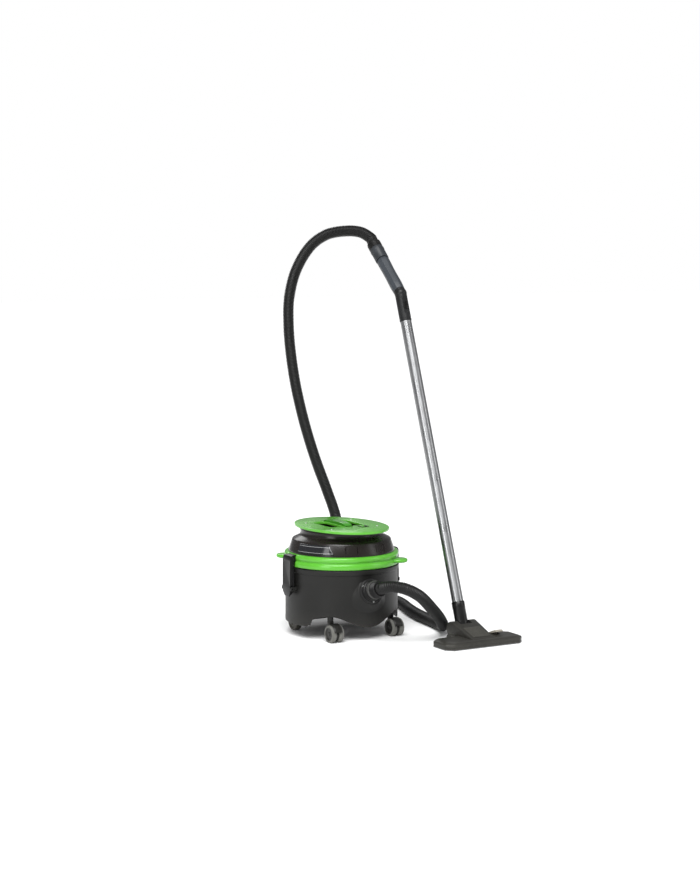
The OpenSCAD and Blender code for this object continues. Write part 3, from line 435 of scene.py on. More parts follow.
drum = turned(
    "drum_shell",
    [(0, DECK_Z), (166, DECK_Z), (168.5, 76), (168.5, 41), (169.3, 40), (171.2, 40), (172, 41), (172, 119), (172, 196),
     (172.5, 197.6), (174.7, 199.2), (175.5, 201), (175.5, 211.8), (174.5, 213), (169.5, 213), (168.5, 212),
     (168.5, 88), (167, 84), (163, 81.5), (0, 81.5)],
    at(0, 0, 0), (0, 0, 1), side=(0, -1, 0), steps=DRUM_STEPS,
)
only(drum)
bpy.ops.object.mode_set(mode="EDIT")
for step in range(DRUM_STEPS // 2 + 1):
    angle = step * 360 / DRUM_STEPS
    rise = skirt_edge(angle) - SKIRT_LOW
    if rise > 0.01:
        pick(drum, lambda v: v.co.z < 42 * MM and abs(front_angle(v.co) - angle) < 0.6)
        bpy.ops.transform.translate(value=(0, 0, rise * MM))
bpy.ops.object.mode_set(mode="OBJECT")
cut_by(drum, rod("duct", 25, 60, inlet_base + inlet_axis * -10 * MM, inlet_axis))
# The blister that the inlet is bolted to runs out into the wall in one hollow curve
blister = turned(
    "inlet_blister",
    [(25, -20), (67, -19.5), (62, -16.4), (56, -12), (50.5, -7), (46, -2), (43, 2.4), (41.4, 4.8), (39.6, 6), (25, 6), (25, -20)],
    inlet_base, inlet_axis, steps=96,
)
cut_by(blister, rod("bore_of_drum", 170, 260, at(0, 0, 150), (0, 0, 1), vertices=160))
housings = []
for side in (-1, 1):
    arch = rod("rear_housing", 38, 31.2, at(side * 114, 88, 30), (1, 0, 0))
    only(arch)
    bpy.ops.object.mode_set(mode="EDIT")
    for height, up in ((SKIRT_LOW, -1), (DECK_Z, 1)):
        bpy.ops.mesh.select_all(action="SELECT")
        bpy.ops.mesh.bisect(plane_co=at(0, 0, height), plane_no=(0, 0, up), use_fill=True, clear_outer=True)
    bpy.ops.object.mode_set(mode="OBJECT")
    cut_by(arch, rod("wheel_arch", 34, 21.2, at(side * 114, 88, 30), (1, 0, 0)))
    parts = [arch]
    for end in (-1, 1):
        across = side * 114 + end * 13.1
        parts.append(block("rib", (across - 2.5, 70, 30), (across + 2.5, 106, DECK_Z)))
        parts.append(rod("axle_boss", 12, 5, at(across, 88, 30), (1, 0, 0)))
    housings.append(smoothed(joined(*parts), 0.8, 2))
    for end in (-1, 1):
        lug_y = end * 26.6
        lug = block("clip_lug", (min(side * 164, side * 192), lug_y - 3, 144), (max(side * 164, side * 192), lug_y + 3, 156))
        housings.append(smoothed(lug, 2.4, 4))
drum = joined(smoothed(drum), smoothed(blister, sharper_than=50), *housings)
# Polypropylene with a fine eroded texture: matt charcoal that only gleams at a glancing angle, dusty low down
charcoal_pp = moulded("drum_charcoal_polypropylene", "#181816", "#111110", 0.44, 0.9, 0.05, ior=1.49, patch_mm=160, dusty=0.12)
fit(drum, charcoal_pp, "tub", "drum_plastic", "drum", "base_skirt")


# ---- Inlet ----
# A stepped black ABS flange held to the blister by three screws, with the duct that the hose's cuff plugs into.
# The screws are zinc-plated pan heads with a cross recess.
black_abs = moulded("fittings_black_abs", "#121212", "#0b0b0b", 0.3, 0.7, 0.02, ior=1.54)
inlet = smoothed(turned(
    "inlet_flange",
    [(21.6, -24), (25, -24), (25, 5.5), (38, 5.5), (38, 7.6), (37, 9.4), (36.2, 9.8), (35.6, 11.6), (34.6, 12.2), (31.4, 12.4), (30.8, 13),
     (30.6, 17), (29.6, 17.8), (29, 18.4), (29, 26.6), (28.2, 27.6), (27.4, 28), (21.6, 28), (21.6, -24)],
    inlet_base, inlet_axis,
))
fit(inlet, black_abs, "tub", "dark_plastic", "inlet_fitting")


def screw_head(name, radius, high):
    """A pan head with a cross recess, made once at the origin and copied to where it is screwed in."""
    head = turned(name, [(0, 0), (radius, 0), (radius, high * 0.35), (radius * 0.86, high * 0.8), (radius * 0.5, high), (0, high)],
                  (0, 0, 0), (0, 0, 1), steps=32)
    for turn in (0, 90):
        bpy.ops.mesh.primitive_cube_add(
            size=1, location=(0, 0, high * MM), rotation=(0, 0, math.radians(turn)),
            scale=(radius * 1.2 * MM, radius * 0.22 * MM, high * 0.9 * MM),
        )
        cut_by(head, bpy.context.object)
    return smoothed(head)


def screwed_in(head, name, places, axis):
    """Copies of a screw head at each place, as one piece."""
    made = []
    for place in places:
        only(head)
        bpy.ops.object.duplicate(linked=False)
        one = bpy.context.object
        one.rotation_euler = Vector(axis).to_track_quat("Z", "Y").to_euler()
        one.location = place
        bpy.ops.object.transform_apply()
        made.append(one)
    screws = joined(*made)
    screws.name = screws.data.name = name
    bpy.data.objects.remove(head)
    return screws


def worn_metal(name, colour, roughness, line_mm, along_mm, turn=(0, 0, 0)):
    """A bare metal with the fine parallel lines that drawing or brushing leaves, in a bright and a duller shade."""
    made, tree, output, place = material(name)
    upright = add_node(tree, "Mapping", {"Rotation": turn}, {"Vector": (place, "Object")})
    stretched = add_node(tree, "Mapping", {"Scale": (1000 / line_mm, 1000 / line_mm, 1000 / along_mm)}, {"Vector": (upright, "Vector")})
    lines = add_node(tree, "TexNoise", {"Scale": 1.0, "Detail": 3.0}, {"Vector": (stretched, "Vector")})
    shades = add_node(tree, "ValToRGB", None, {"Fac": (lines, "Fac")})
    shades.color_ramp.elements[0].position, shades.color_ramp.elements[0].color = 0.25, srgb(colour[1])
    shades.color_ramp.elements[1].position, shades.color_ramp.elements[1].color = 0.7, srgb(colour[0])
    smears = add_node(tree, "TexNoise", {"Scale": 24.0, "Detail": 5.0}, {"Vector": (place, "Object")})
    gloss = add_node(tree, "MapRange", {"From Min": 0.3, "From Max": 0.7, "To Min": roughness - 0.05, "To Max": roughness + 0.08}, {"Value": (smears, "Fac")})
    scratch = add_node(tree, "Bump", {"Strength": 0.15, "Distance": 0.01 * MM}, {"Height": (lines, "Fac")})
    shader = add_node(
        tree, "BsdfPrincipled", {"Metallic": 1.0},
        {"Base Color": (shades, "Color"), "Roughness": (gloss, "Result"), "Normal": (scratch, "Normal")},
    )
    tree.links.new(shader.outputs["BSDF"], output.inputs["Surface"])
    return made


# Bright zinc plate over steel: cool grey, with a soft sheen
zinc_plate = worn_metal("screws_zinc_plated_steel", ("#c2c3c1", "#9b9d9e"), 0.32, 0.3, 0.6)
inlet_side = Vector((1, 0, 0))
inlet_up = inlet_axis.cross(inlet_side)
inlet_screws = screwed_in(
    screw_head("inlet_screw_heads", 2.9, 2), "inlet_screw_heads",
    [inlet_base + (inlet_axis * 12.2 + (inlet_side * math.cos(math.radians(turn)) - inlet_up * math.sin(math.radians(turn))) * 33) * MM
     for turn in (90, 210, 330)],
    inlet_axis,
)
fit(inlet_screws, zinc_plate, "tub", "steel", "inlet_screws")


# ---- Rear wheels ----
# Dark grey solid wheels with a dished face, turning on a plain steel axle that passes through the skirt's housings.
# The whole wheel is one dark grey plastic, paler with dust low down.
REAR_X, REAR_Y, REAR_R, REAR_HALF = 114, 88, 30, 10
rear_wheel_half = [(4.1, 10), (8.6, 10), (9.2, 9.4), (9.6, 7.4), (12, 7), (21, 7), (22.6, 7.8), (23.4, 9.6), (24.2, 10),
                   (27.6, 10), (29.2, 9.2), (30, 7.6), (30, 3.2), (29.2, 2.6), (29.2, 1.2), (30, 0.6)]
worn_wheel = moulded("wheels_dark_polypropylene", "#30302e", "#222221", 0.55, 0.8, 0.05, ior=1.49, patch_mm=18, dusty=0.5)
for side, body in ((-1, "rear_wheel_l"), (1, "rear_wheel_r")):
    wheel = turned(
        f"{body}_disc", rear_wheel_half + [(r, -h) for r, h in reversed(rear_wheel_half)] + rear_wheel_half[:1],
        at(side * REAR_X, REAR_Y, REAR_R), (1, 0, 0),
    )
    fit(smoothed(wheel), worn_wheel, body, "wheel_rubber", {"rear_wheel_l": "rear_wheel_left", "rear_wheel_r": "rear_wheel_right"}[body])


# ---- Castors ----
# Twin-wheel furniture castors: black nylon yoke and hubs under a rounded hood, with pale grey rubber treads.
# Each yoke's stem is part of the same black nylon moulding, pushed up into a socket in the drum's deck, and swivels
# there.
CASTOR_R, AXLE_BACK, WHEEL_OFF, WHEEL_HALF, HUB_R = 26, 24, 12.6, 7.5, 20
STEM_AT = 156.5
castor_black = moulded("castors_black_nylon", "#121211", "#0b0b0b", 0.36, 0.6, 0.03, ior=1.53, patch_mm=24, dusty=0.1)
# Thermoplastic rubber: pale grey, nearly matt, a little dirty where it rolls
tread_grey = moulded("treads_pale_grey_rubber", "#6c6c68", "#5b5b57", 0.6, 0.5, 0.04, ior=1.5, patch_mm=14, dusty=0.15)
hub_profile = [(0, 7.0), (3.6, 7.0), (5.4, 6.5), (6, 5.2), (8.4, 4.7), (14.6, 4.7), (16.4, 5.6), (17.2, 7.1), (18.0, 7.5), (19.9, 7.5),
               (19.9, -7.5), (0, -7.5)]
tread_profile = [(20, 7.5), (21.6, 7.5), (22, 7.1), (22.8, 7.1), (23.2, 7.5), (24.4, 7.5), (25.5, 6.8), (26, 5.6), (26, -5.6), (25.5, -6.8),
                 (24.4, -7.5), (20, -7.5), (20, 7.5)]
hood_profile = [(26.9, -13.5), (28.2, -13.5), (29.4, -12.2), (30, -9.5), (30.2, 0), (30, 9.5), (29.4, 12.2), (28.2, 13.5), (26.9, 13.5), (26.9, -13.5)]
HOOD_START, HOOD_SWEEP = math.radians(14), 152
for side, letter in ((-1, "l"), (1, "r")):
    turn = side * math.radians(CASTOR_ANGLE)
    stem_x, stem_y = STEM_AT * math.sin(turn), -STEM_AT * math.cos(turn)
    axle = at(stem_x, stem_y - AXLE_BACK, CASTOR_R)
    hood = turned(f"castor_{letter}_yoke", hood_profile, axle, (1, 0, 0), side=(0, math.cos(HOOD_START), math.sin(HOOD_START)), steps=40, sweep=-HOOD_SWEEP)
    web = turned("web", [(0, -4.5), (19, -4.5), (20, -3.8), (20, 3.8), (19, 4.5), (0, 4.5)], axle, (1, 0, 0), steps=48)
    neck = block("neck", (stem_x - 4.5, stem_y - AXLE_BACK, 26), (stem_x + 4.5, stem_y, 52))
    stem = turned(
        "stem",
        [(0, 34), (8, 34), (9, 35), (9, 54), (10.2, 55), (10.2, 57.6), (9, 58.4), (9, 60), (8, 61), (5, 61), (5, 84.5), (4.2, 86), (0, 86)],
        at(stem_x, stem_y, 0), (0, 0, 1), steps=48,
    )
    yoke = joined(smoothed(hood), smoothed(web), smoothed(neck, 1.2, 3), smoothed(stem))
    name = {"l": "left", "r": "right"}[letter]
    fit(yoke, castor_black, f"castor_{letter}", "dark_plastic", f"castor_yoke_{name}")
    for end, which in ((-1, "a"), (1, "b")):
        middle = axle + Vector((end * WHEEL_OFF * MM, 0, 0))
        hub = smoothed(turned(f"castor_{letter}{which}_hub", hub_profile, middle, (end, 0, 0), steps=72), 0.4, 2)
        fit(hub, castor_black, f"castor_wheel_{letter}{which}", "hub_plastic", f"castor_hub_{name}_{which}")
        tread = smoothed(turned(f"castor_{letter}{which}_tread", tread_profile, middle, (end, 0, 0), steps=72))
        fit(tread, tread_grey, f"castor_wheel_{letter}{which}", "tread_rubber", f"castor_tread_{name}_{which}")


# ---- Latches ----
# Two black acetal clips on steel pins in the drum's lugs. Each hooks over the lid ring through a notch,
# and narrows below its pin to a finger tab.
LATCH_HALF = 23
latch_outline = [(176.9, 142), (183, 131), (187.5, 125.5), (190, 126), (191.6, 140), (192, 158), (191.6, 236), (190.2, 243), (186.4, 249),
                 (181, 251), (168.4, 251), (168, 250.4), (171.8, 233.6), (176.9, 227)]
acetal = moulded("latches_black_acetal", "#0f0f0f", "#090909", 0.34, 0.7, 0.02, ior=1.48)


def drawn(name, outline, thickness):
    """A flat piece: its outline drawn from one point, closed, filled, and pushed out to its thickness."""
    bpy.ops.object.select_all(action="DESELECT")
    bpy.ops.mesh.primitive_plane_add(size=MM, location=outline[0])
    piece = bpy.context.object
    piece.name = piece.data.name = name
    bpy.ops.object.transform_apply()
    bpy.ops.object.mode_set(mode="EDIT")
    bpy.ops.mesh.select_mode(type="VERT")
    bpy.ops.mesh.select_all(action="SELECT")
    bpy.ops.mesh.merge(type="CENTER")
    for here, there in zip(outline, outline[1:]):
        bpy.ops.mesh.extrude_vertices_move(TRANSFORM_OT_translate={"value": there - here})
    bpy.ops.mesh.select_all(action="SELECT")
    bpy.ops.mesh.edge_face_add()
    bpy.ops.mesh.extrude_region_move(TRANSFORM_OT_translate={"value": thickness})
    bpy.ops.mesh.select_all(action="SELECT")
    bpy.ops.mesh.normals_make_consistent(inside=False)
    bpy.ops.object.mode_set(mode="OBJECT")
    return piece


for side, body, node in ((-1, "latch_l", "latch_left"), (1, "latch_r", "latch_right")):
    latch = drawn(f"{body}_clip", [at(side * x, -LATCH_HALF, z) for x, z in latch_outline], Vector((0, 2 * LATCH_HALF * MM, 0)))
    only(latch)
    bpy.ops.object.mode_set(mode="EDIT")
    pick(latch, lambda f: f.normal.x * side > 0.98 and f.calc_area() > 1e-3, "FACE")
    bpy.ops.mesh.inset(thickness=5 * MM, depth=-1.4 * MM)
    pick(latch, lambda v: v.co.z < 132 * MM)
    bpy.ops.transform.resize(value=(1, 0.6, 1), center_override=at(0, 0, 0))
    bpy.ops.object.mode_set(mode="OBJECT")
    fit(smoothed(latch, 1.6, 4, 20), acetal, body, "dark_plastic", node)


# ---- Lid ring ----
# A glossy green ABS ring of two rounded tiers that carries the head, with a tongue at each side to lift it by.
# It is notched for the latches, and a flat rubber seal lies under it on the drum's rim.
def green_abs_like(name, light, dark):
    """Glossy green ABS: nearly smooth, with faint moulding mottle and a faint fine grain."""
    return moulded(name, light, dark, 0.2, 2.2, 0.012, ior=1.54, patch_mm=110, glint=0.38)


green_abs = green_abs_like("ring_bright_green_abs", "#59ac33", "#51a12d")
ring_outline = [
    (156, 215.3), (173.4, 215.3), (175.2, 216.4), (176.2, 219), (176.3, 223), (176.0, 227), (174.9, 230.4), (173.2, 232.6), (171.4, 233.8),
    (170.9, 235.2), (171.2, 236.6), (172.8, 237.8), (174.1, 239.8), (174.8, 242.6), (174.8, 245.6), (174.0, 248.6), (172.2, 251), (169.6, 252.5),
    (166, 253), (148, 253), (148, 221), (156, 215.3),
]
ring = turned("lid_ring_band", ring_outline, at(0, 0, 0), (0, 0, 1), side=(0, -1, 0), steps=160)
notches = []
for side in (-1, 1):
    notch_outline = [(167.7, 256), (167.7, 251), (171.7, 233), (171.7, 210), (200, 210), (200, 256)]
    notch = drawn("notch", [at(side * x, -25.5, z) for x, z in notch_outline], Vector((0, 51 * MM, 0)))
    notches.append(notch)
cut_by(ring, *notches)
smoothed(ring)
deck = turned("lid_deck", [(46, 219), (153, 219), (153, 223), (46, 223), (46, 219)], at(0, 0, 0), (0, 0, 1), steps=96)
tongues = []
for side in (-1, 1):
    out = Vector((side, -side, 0)).normalized()
    tongue = rod("tongue", 29, 11, at(0, 0, 227.5) + out * 178 * MM, (0, 0, 1), vertices=72)
    only(tongue)
    bpy.ops.object.mode_set(mode="EDIT")
    pick(tongue, lambda v: (v.co - at(0, 0, 0)).dot(out) < 177.5 * MM)
    bpy.ops.transform.translate(value=out * -12 * MM)
    bpy.ops.object.mode_set(mode="OBJECT")
    tongues.append(smoothed(tongue, 4.6, 6, 40))
ring = joined(ring, smoothed(deck), *tongues)
fit(ring, green_abs, "head", "green_plastic", "lid_ring")
# Nitrile rubber: dead black and matt
seal_rubber = moulded("seal_black_rubber", "#161616", "#0e0e0e", 0.7, 0.8, 0.05, ior=1.52)
seal = turned("lid_seal_band", [(165.6, 213.3), (171.4, 213.3), (171.6, 214.1), (171.4, 215), (165.6, 215), (165.6, 213.3)], at(0, 0, 0), (0, 0, 1), steps=160)
fit(smoothed(seal), seal_rubber, "head", "seal_rubber", "lid_seal")


# ---- Filter ----
# A cup of needled off-white felt stretched over a plastic cage that hangs under the lid's deck.
# The felt is stiff and slightly uneven, with a sewn hem at its mouth.
felt = turned(
    "felt_filter",
    [(0, 143), (112, 143), (117, 144.6), (119.4, 148.6), (120, 154), (120, 211), (120.6, 213), (120.6, 217.5), (119.6, 218.6), (117.4, 218.6),
     (117, 154), (115.4, 149), (111, 146.2), (0, 146)],
    at(0, 0, 0), (0, 0, 1), steps=144,
)
only(felt)
bpy.ops.object.mode_set(mode="EDIT")
pick(felt, lambda e: abs(e.verts[0].co.z - e.verts[1].co.z) > 40 * MM, "EDGE")
bpy.ops.mesh.subdivide(number_cuts=9)
bpy.ops.object.mode_set(mode="OBJECT")
lumps = bpy.data.textures.new("felt_lumps", "CLOUDS")
lumps.noise_scale = 0.03
uneven = felt.modifiers.new("uneven", "DISPLACE")
uneven.texture, uneven.strength, uneven.mid_level = lumps, 1.6 * MM, 0.5
only(felt)
bpy.ops.object.modifier_apply(modifier=uneven.name)
smoothed(felt, sharper_than=50)
# Needled polyester: matt, hairy, off-white, greyed in patches by dust
needled, tree, output, place = material("filter_needled_polyester_felt")
stain = add_node(tree, "TexNoise", {"Scale": 14.0, "Detail": 8.0, "Roughness": 0.7}, {"Vector": (place, "Object")})
felts = add_node(tree, "ValToRGB", None, {"Fac": (stain, "Fac")})
felts.color_ramp.elements[0].position, felts.color_ramp.elements[0].color = 0.35, srgb("#b3ada0")
felts.color_ramp.elements[1].position, felts.color_ramp.elements[1].color = 0.62, srgb("#d9d5ca")
hairs = add_node(tree, "TexNoise", {"Scale": 900.0, "Detail": 4.0, "Distortion": 1.5}, {"Vector": (place, "Object")})
fuzz = add_node(tree, "Bump", {"Strength": 0.8, "Distance": 0.25 * MM}, {"Height": (hairs, "Fac")})
felt_shader = add_node(
    tree, "BsdfPrincipled", {"Roughness": 0.9, "IOR": 1.45, "Sheen Weight": 0.4, "Sheen Roughness": 0.5},
    {"Base Color": (felts, "Color"), "Normal": (fuzz, "Normal")},
)
tree.links.new(felt_shader.outputs["BSDF"], output.inputs["Surface"])
fit(felt, needled, "head", "filter_cloth", "filter_sleeve")


# ---- Motor ----
# A two-stage suction motor under the cover: zinc-plated can, steel shaft and bearings, a pressed aluminium fan,
# and a varnished copper winding. These turn inside the head and keep the shapes that they were designed with.
def dress(finish, *names):
    """Gives designed parts that keep their own shape this finish."""
    for name in names:
        for place_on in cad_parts[name].material_slots:
            place_on.material = finish


motor_zinc = worn_metal("motor_can_zinc_plated_steel", ("#a9abad", "#87898b"), 0.42, 0.4, 0.8)
axle_steel = worn_metal("axles_ground_steel", ("#b9b9b7", "#8f9090"), 0.28, 0.2, 3.0)
fan_sheet = worn_metal("fan_pressed_aluminium", ("#c4c6c8", "#a2a4a6"), 0.35, 0.5, 0.5)
winding = moulded("winding_varnished_copper", "#9c6238", "#6f4223", 0.3, 0.4, 0.15, ior=1.5, patch_mm=9)
dress(motor_zinc, "motor_can")
dress(axle_steel, "motor_shaft", "motor_bearings", "rear_axle", "latch_pins", "castor_axle_left", "castor_axle_right", "cover_screws", "nozzle_pins")
dress(fan_sheet, "fan_impeller")
dress(winding, "armature")
dress(seal_rubber, "motor_mount")
dress(black_abs, "filter_cage", "castor_sockets")


# ---- Motor cover ----
# A brown-black polypropylene cover with a satin polish, screwed down inside the lid ring.
# Its hollow neck takes the wound cable, and a square well in its top makes room for fingers under the carry bar.


def swung(piece, turn, about, to):
    """Turns a piece by these angles about one point, and carries that point to another."""
    only(piece)
    piece.rotation_euler = turn
    piece.location = to - Euler(turn).to_matrix() @ about
    bpy.ops.object.transform_apply()
    return piece


cover = turned(
    "motor_cover_shell",
    [(0, 320), (123, 320), (122.6, 312), (123.4, 304), (126, 299), (146, 289), (148.4, 286), (158.4, 257), (158.4, 252.5),
     (162, 252.5), (162, 256), (161.4, 258.4), (151.6, 286.8), (150.2, 289.8), (147.4, 292), (132, 299.4), (129, 301.4), (127.2, 304),
     (126, 308), (125.6, 312), (126, 316), (127.2, 319.4), (129.6, 321.6), (129.6, 323), (0, 323)],
    at(0, 0, 0), (0, 0, 1), side=(0, -1, 0), steps=160,
)
slots = [
    swung(block("slot", (-0.9, -170, 262), (0.9, -151, 284)), (0, 0, math.radians(angle)), at(0, 0, 0), at(0, 0, 0))
    for angle in (-25, -12, 12, 25)
]
well = block("finger_well", (-61.5, -41.5, 300.5), (61.5, 81.5, 321))
cut_by(cover, *slots)
cut_by(cover, block("well_mouth", (-59, -39, 303), (59, 79, 330)))
cut_by(well, block("well_room", (-59, -39, 303), (59, 79, 330)))
cover = joined(smoothed(cover), smoothed(well))
cover_pp = moulded("cover_brown_black_polypropylene", "#211d1a", "#191614", 0.24, 1.4, 0.012, ior=1.49, patch_mm=140)
fit(cover, cover_pp, "head", "cover_plastic", "motor_cover")


# ---- Label panel ----
# A raised blank panel of glossy black acrylic, bonded round the front left of the cover, with a slanted end.
# It has only a plain grey rule near each edge.
panel = turned(
    "blank_label_panel",
    [(160.6, 258.8), (163.2, 258.8), (164.4, 259.8), (155.0, 285.4), (153.4, 286.2), (151.0, 286.2), (160.6, 258.8)],
    at(0, 0, 0), (0, 0, 1), side=(-math.sin(math.radians(83)), -math.cos(math.radians(83)), 0), steps=48, sweep=-45,
)
only(panel)
bpy.ops.object.mode_set(mode="EDIT")
bpy.ops.mesh.select_all(action="SELECT")
slant = Vector((math.cos(math.radians(38)), -math.sin(math.radians(38)), 0.55)).normalized()
bpy.ops.mesh.bisect(
    plane_co=at(-158 * math.sin(math.radians(40.5)), -158 * math.cos(math.radians(40.5)), 272), plane_no=slant, use_fill=True, clear_outer=True
)
bpy.ops.object.mode_set(mode="OBJECT")
smoothed(panel, 0.5, 2)
# Gloss black acrylic with two thin printed rules, light grey
gloss_black, tree, output, place = material("panel_gloss_black_acrylic")
spot = add_node(tree, "SeparateXYZ", None, {"Vector": (place, "Object")})
smudge = add_node(tree, "TexNoise", {"Scale": 26.0, "Detail": 6.0}, {"Vector": (place, "Object")})
gloss = add_node(tree, "MapRange", {"From Min": 0.3, "From Max": 0.7, "To Min": 0.08, "To Max": 0.18}, {"Value": (smudge, "Fac")})
offset = add_node(tree, "Math", {"operation": "SUBTRACT", 1: 272.4 * MM}, {0: (spot, "Z")})
from_middle = add_node(tree, "Math", {"operation": "ABSOLUTE"}, {0: (offset, "Value")})
rule = add_node(tree, "Math", {"operation": "COMPARE", 1: 8.6 * MM, 2: 0.45 * MM}, {0: (from_middle, "Value")})
printed = add_node(tree, "Mix", {"data_type": "RGBA", 6: srgb("#1c1d20"), 7: srgb("#9b9c9c")}, {0: (rule, "Value")})
panel_shader = add_node(tree, "BsdfPrincipled", {"IOR": 1.49}, {"Base Color": (printed, 2), "Roughness": (gloss, "Result")})
tree.links.new(panel_shader.outputs["BSDF"], output.inputs["Surface"])
fit(panel, gloss_black, "head", "panel_plastic", "label_panel")


# ---- Top plate ----
# A long oval of the same green ABS that the cable is wound under. A raised bar between two finger holes carries the
# machine, and four screws hold the plate down to the neck.
PLATE_W, PLATE_LEN, PLATE_Z, PLATE_T = 258, 370, 323, 7
plate = rod("top_plate_oval", 100, PLATE_T, at(0, 0, PLATE_Z + PLATE_T / 2), (0, 0, 1), vertices=144)
only(plate)
bpy.ops.object.mode_set(mode="EDIT")
bpy.ops.mesh.select_all(action="SELECT")
bpy.ops.transform.resize(value=(PLATE_W / 200, PLATE_LEN / 200, 1), center_override=at(0, 0, 0))
bpy.ops.object.mode_set(mode="OBJECT")
for side in (-1, 1):
    finger = block("finger_hole", (side * 37 - 22, -39, 310), (side * 37 + 22, 79, 350))
    only(finger)
    bpy.ops.object.mode_set(mode="EDIT")
    pick(finger, lambda e: abs(e.verts[0].co.z - e.verts[1].co.z) > 20 * MM, "EDGE")
    bpy.ops.mesh.bevel(offset=14 * MM, segments=10, affect="EDGES")
    bpy.ops.object.mode_set(mode="OBJECT")
    cut_by(plate, finger)
cut_by(plate, block("switch_hole", (28, -81, 310), (48, -51, 350)))
smoothed(plate, 2.6, 5, 40)
bar = block("carry_bar", (-13, -48, 324), (13, 88, 334))
only(bar)
bpy.ops.object.mode_set(mode="EDIT")
bpy.ops.mesh.select_all(action="SELECT")
bpy.ops.mesh.subdivide(number_cuts=9)
pick(bar, lambda v: v.co.z > 333 * MM and abs(v.co.y - at(0, 20, 0).y) < 30 * MM)
bpy.ops.transform.translate(
    value=(0, 0, 5 * MM), use_proportional_edit=True, proportional_edit_falloff="SMOOTH", proportional_size=46 * MM
)
pick(bar, lambda v: v.co.z > 333 * MM and abs(v.co.y - at(0, 20, 0).y) > 66 * MM)
bpy.ops.transform.translate(value=(0, 0, -5.5 * MM))
bpy.ops.object.mode_set(mode="OBJECT")
smoothed(bar, 3.5, 4, 50)
green_bar = green_abs_like("bar_deep_green_abs", "#3d8c22", "#36801d")
fit(plate, green_abs, "head", "green_plastic", "top_plate")
fit(bar, green_bar, "head", "green_plastic")
plate_screws = screwed_in(
    screw_head("plate_screw_heads", 3.4, 1.8), "plate_screw_heads",
    [at(112 * math.cos(math.radians(turn)), 112 * math.sin(math.radians(turn)), PLATE_Z + PLATE_T - 0.2) for turn in (45, 135, 225, 315)],
    (0, 0, 1),
)
fit(plate_screws, zinc_plate, "head", "steel", "plate_screws")


# ---- Switch ----
# A black snap-in rocker switch with a green rocker, standing in its bezel on the right of the plate.
bezel = block("switch_bezel_frame", (26.5, -82.5, 309), (49.5, -49.5, 331.4))
cut_by(bezel, block("rocker_room", (29.5, -79.5, 311), (46.5, -52.5, 340)))
fit(smoothed(bezel, 0.7, 3), black_abs, "head", "dark_plastic", "switch_bezel")
ROCKER_TILT = math.radians(8)
rocker_outline = [(-12, 6.9), (-11, 7.1), (-6, 6.0), (0, 5.4), (6, 6.0), (11, 7.1), (12, 6.9), (12, 4), (3, -2.5), (-3, -2.5), (-12, 4)]
rocker = drawn(
    "switch_rocker_key",
    [at(30, -66 + y * math.cos(ROCKER_TILT) - z * math.sin(ROCKER_TILT), PLATE_Z + y * math.sin(ROCKER_TILT) + z * math.cos(ROCKER_TILT))
     for y, z in rocker_outline],
    Vector((16 * MM, 0, 0)),
)
fit(smoothed(rocker, 0.6, 3), green_abs, "switch", "green_plastic", "switch_rocker")


# ---- Cable gland ----
# A ribbed black rubber gland at the back of the cover, where the mains cable comes in. The cable itself isn't fitted.
gland = turned(
    "cable_gland_bush",
    [(3.9, -10), (8.9, -10), (8.9, 0.4), (12, 0.4), (12, 1.6), (11, 2.4), (11, 3.2), (9.6, 3.8), (8.4, 5.4), (6.4, 6), (3.9, 6), (3.9, -10)],
    at(0, 162, 272), (0, 1, 0), steps=64,
)
fit(smoothed(gland, 0.3, 2), seal_rubber, "head", "seal_rubber", "cable_gland")


# ---- Wand ----
# One drawn and anodised aluminium tube, pushed into the floor tool's neck and over the handle's spigot.
# Its fine drawing lines run along it and stretch the highlights.
WAND_FROM, WAND_TO = 36, 967
wand = smoothed(turned(
    "wand_drawn_tube",
    [(16, WAND_FROM), (17.1, WAND_FROM), (17.5, WAND_FROM + 0.4), (17.5, WAND_TO - 0.4), (17.1, WAND_TO), (16, WAND_TO), (16, WAND_FROM)],
    wand_base, wand_axis,
))
drawn_aluminium = worn_metal("wand_anodised_aluminium", ("#a6a7a8", "#8f9091"), 0.3, 0.35, 90, turn=(WAND_LEAN, 0, 0))
fit(wand, drawn_aluminium, "tub", "aluminium", "wand_tube")


# ---- Handle ----
# The bent neck and the eight-sided grip are moulded in dark and blue-grey polypropylene, and a swivel turns on the grip's spigot.
# A slider on the neck's front covers the bleed hole that lets suction off.
BLEED_S = 1015
neck_pp = moulded("handle_neck_dark_polypropylene", "#1d1e1f", "#151617", 0.4, 0.8, 0.03, ior=1.49, patch_mm=60)
neck = turned(
    "handle_neck_elbow",
    [(14, 927), (15.4, 927), (15.9, 927.8), (15.9, 967), (17.7, 967), (18.6, 968), (18.6, 974), (18, 974.8), (18, 976.4), (18.5, 977), (18.5, ELBOW_S),
     (14, ELBOW_S), (14, 927)],
    wand_base, wand_axis,
)
flat = swung(block("slider_flat", (-9, -18.7, 991), (9, -9, 1045)), (-WAND_LEAN, 0, 0), at(0, 0, 0), wand_base)
bleed_at = wand_base + wand_axis * BLEED_S * MM
out = Vector((0, -math.cos(WAND_LEAN), math.sin(WAND_LEAN)))
cut_by(flat, rod("bleed_hole", 5, 24, bleed_at + out * 16 * MM, out))
cut_by(neck, rod("bleed_hole", 5, 24, bleed_at + out * 16 * MM, out))
bpy.ops.object.select_all(action="DESELECT")
bpy.ops.mesh.primitive_uv_sphere_add(segments=48, ring_count=24, radius=19.2 * MM, location=grip_base)
bend = bpy.context.object
stub = turned("stub", [(14, -2), (18.5, -2), (18.5, 10.4), (17.9, 11.2), (17.9, 12), (14, 12), (14, -2)], grip_base, grip_axis)
neck = joined(smoothed(neck), smoothed(flat, 1.2, 3), smoothed(bend), smoothed(stub))
fit(neck, neck_pp, "tub", "neck_plastic", "handle_neck")
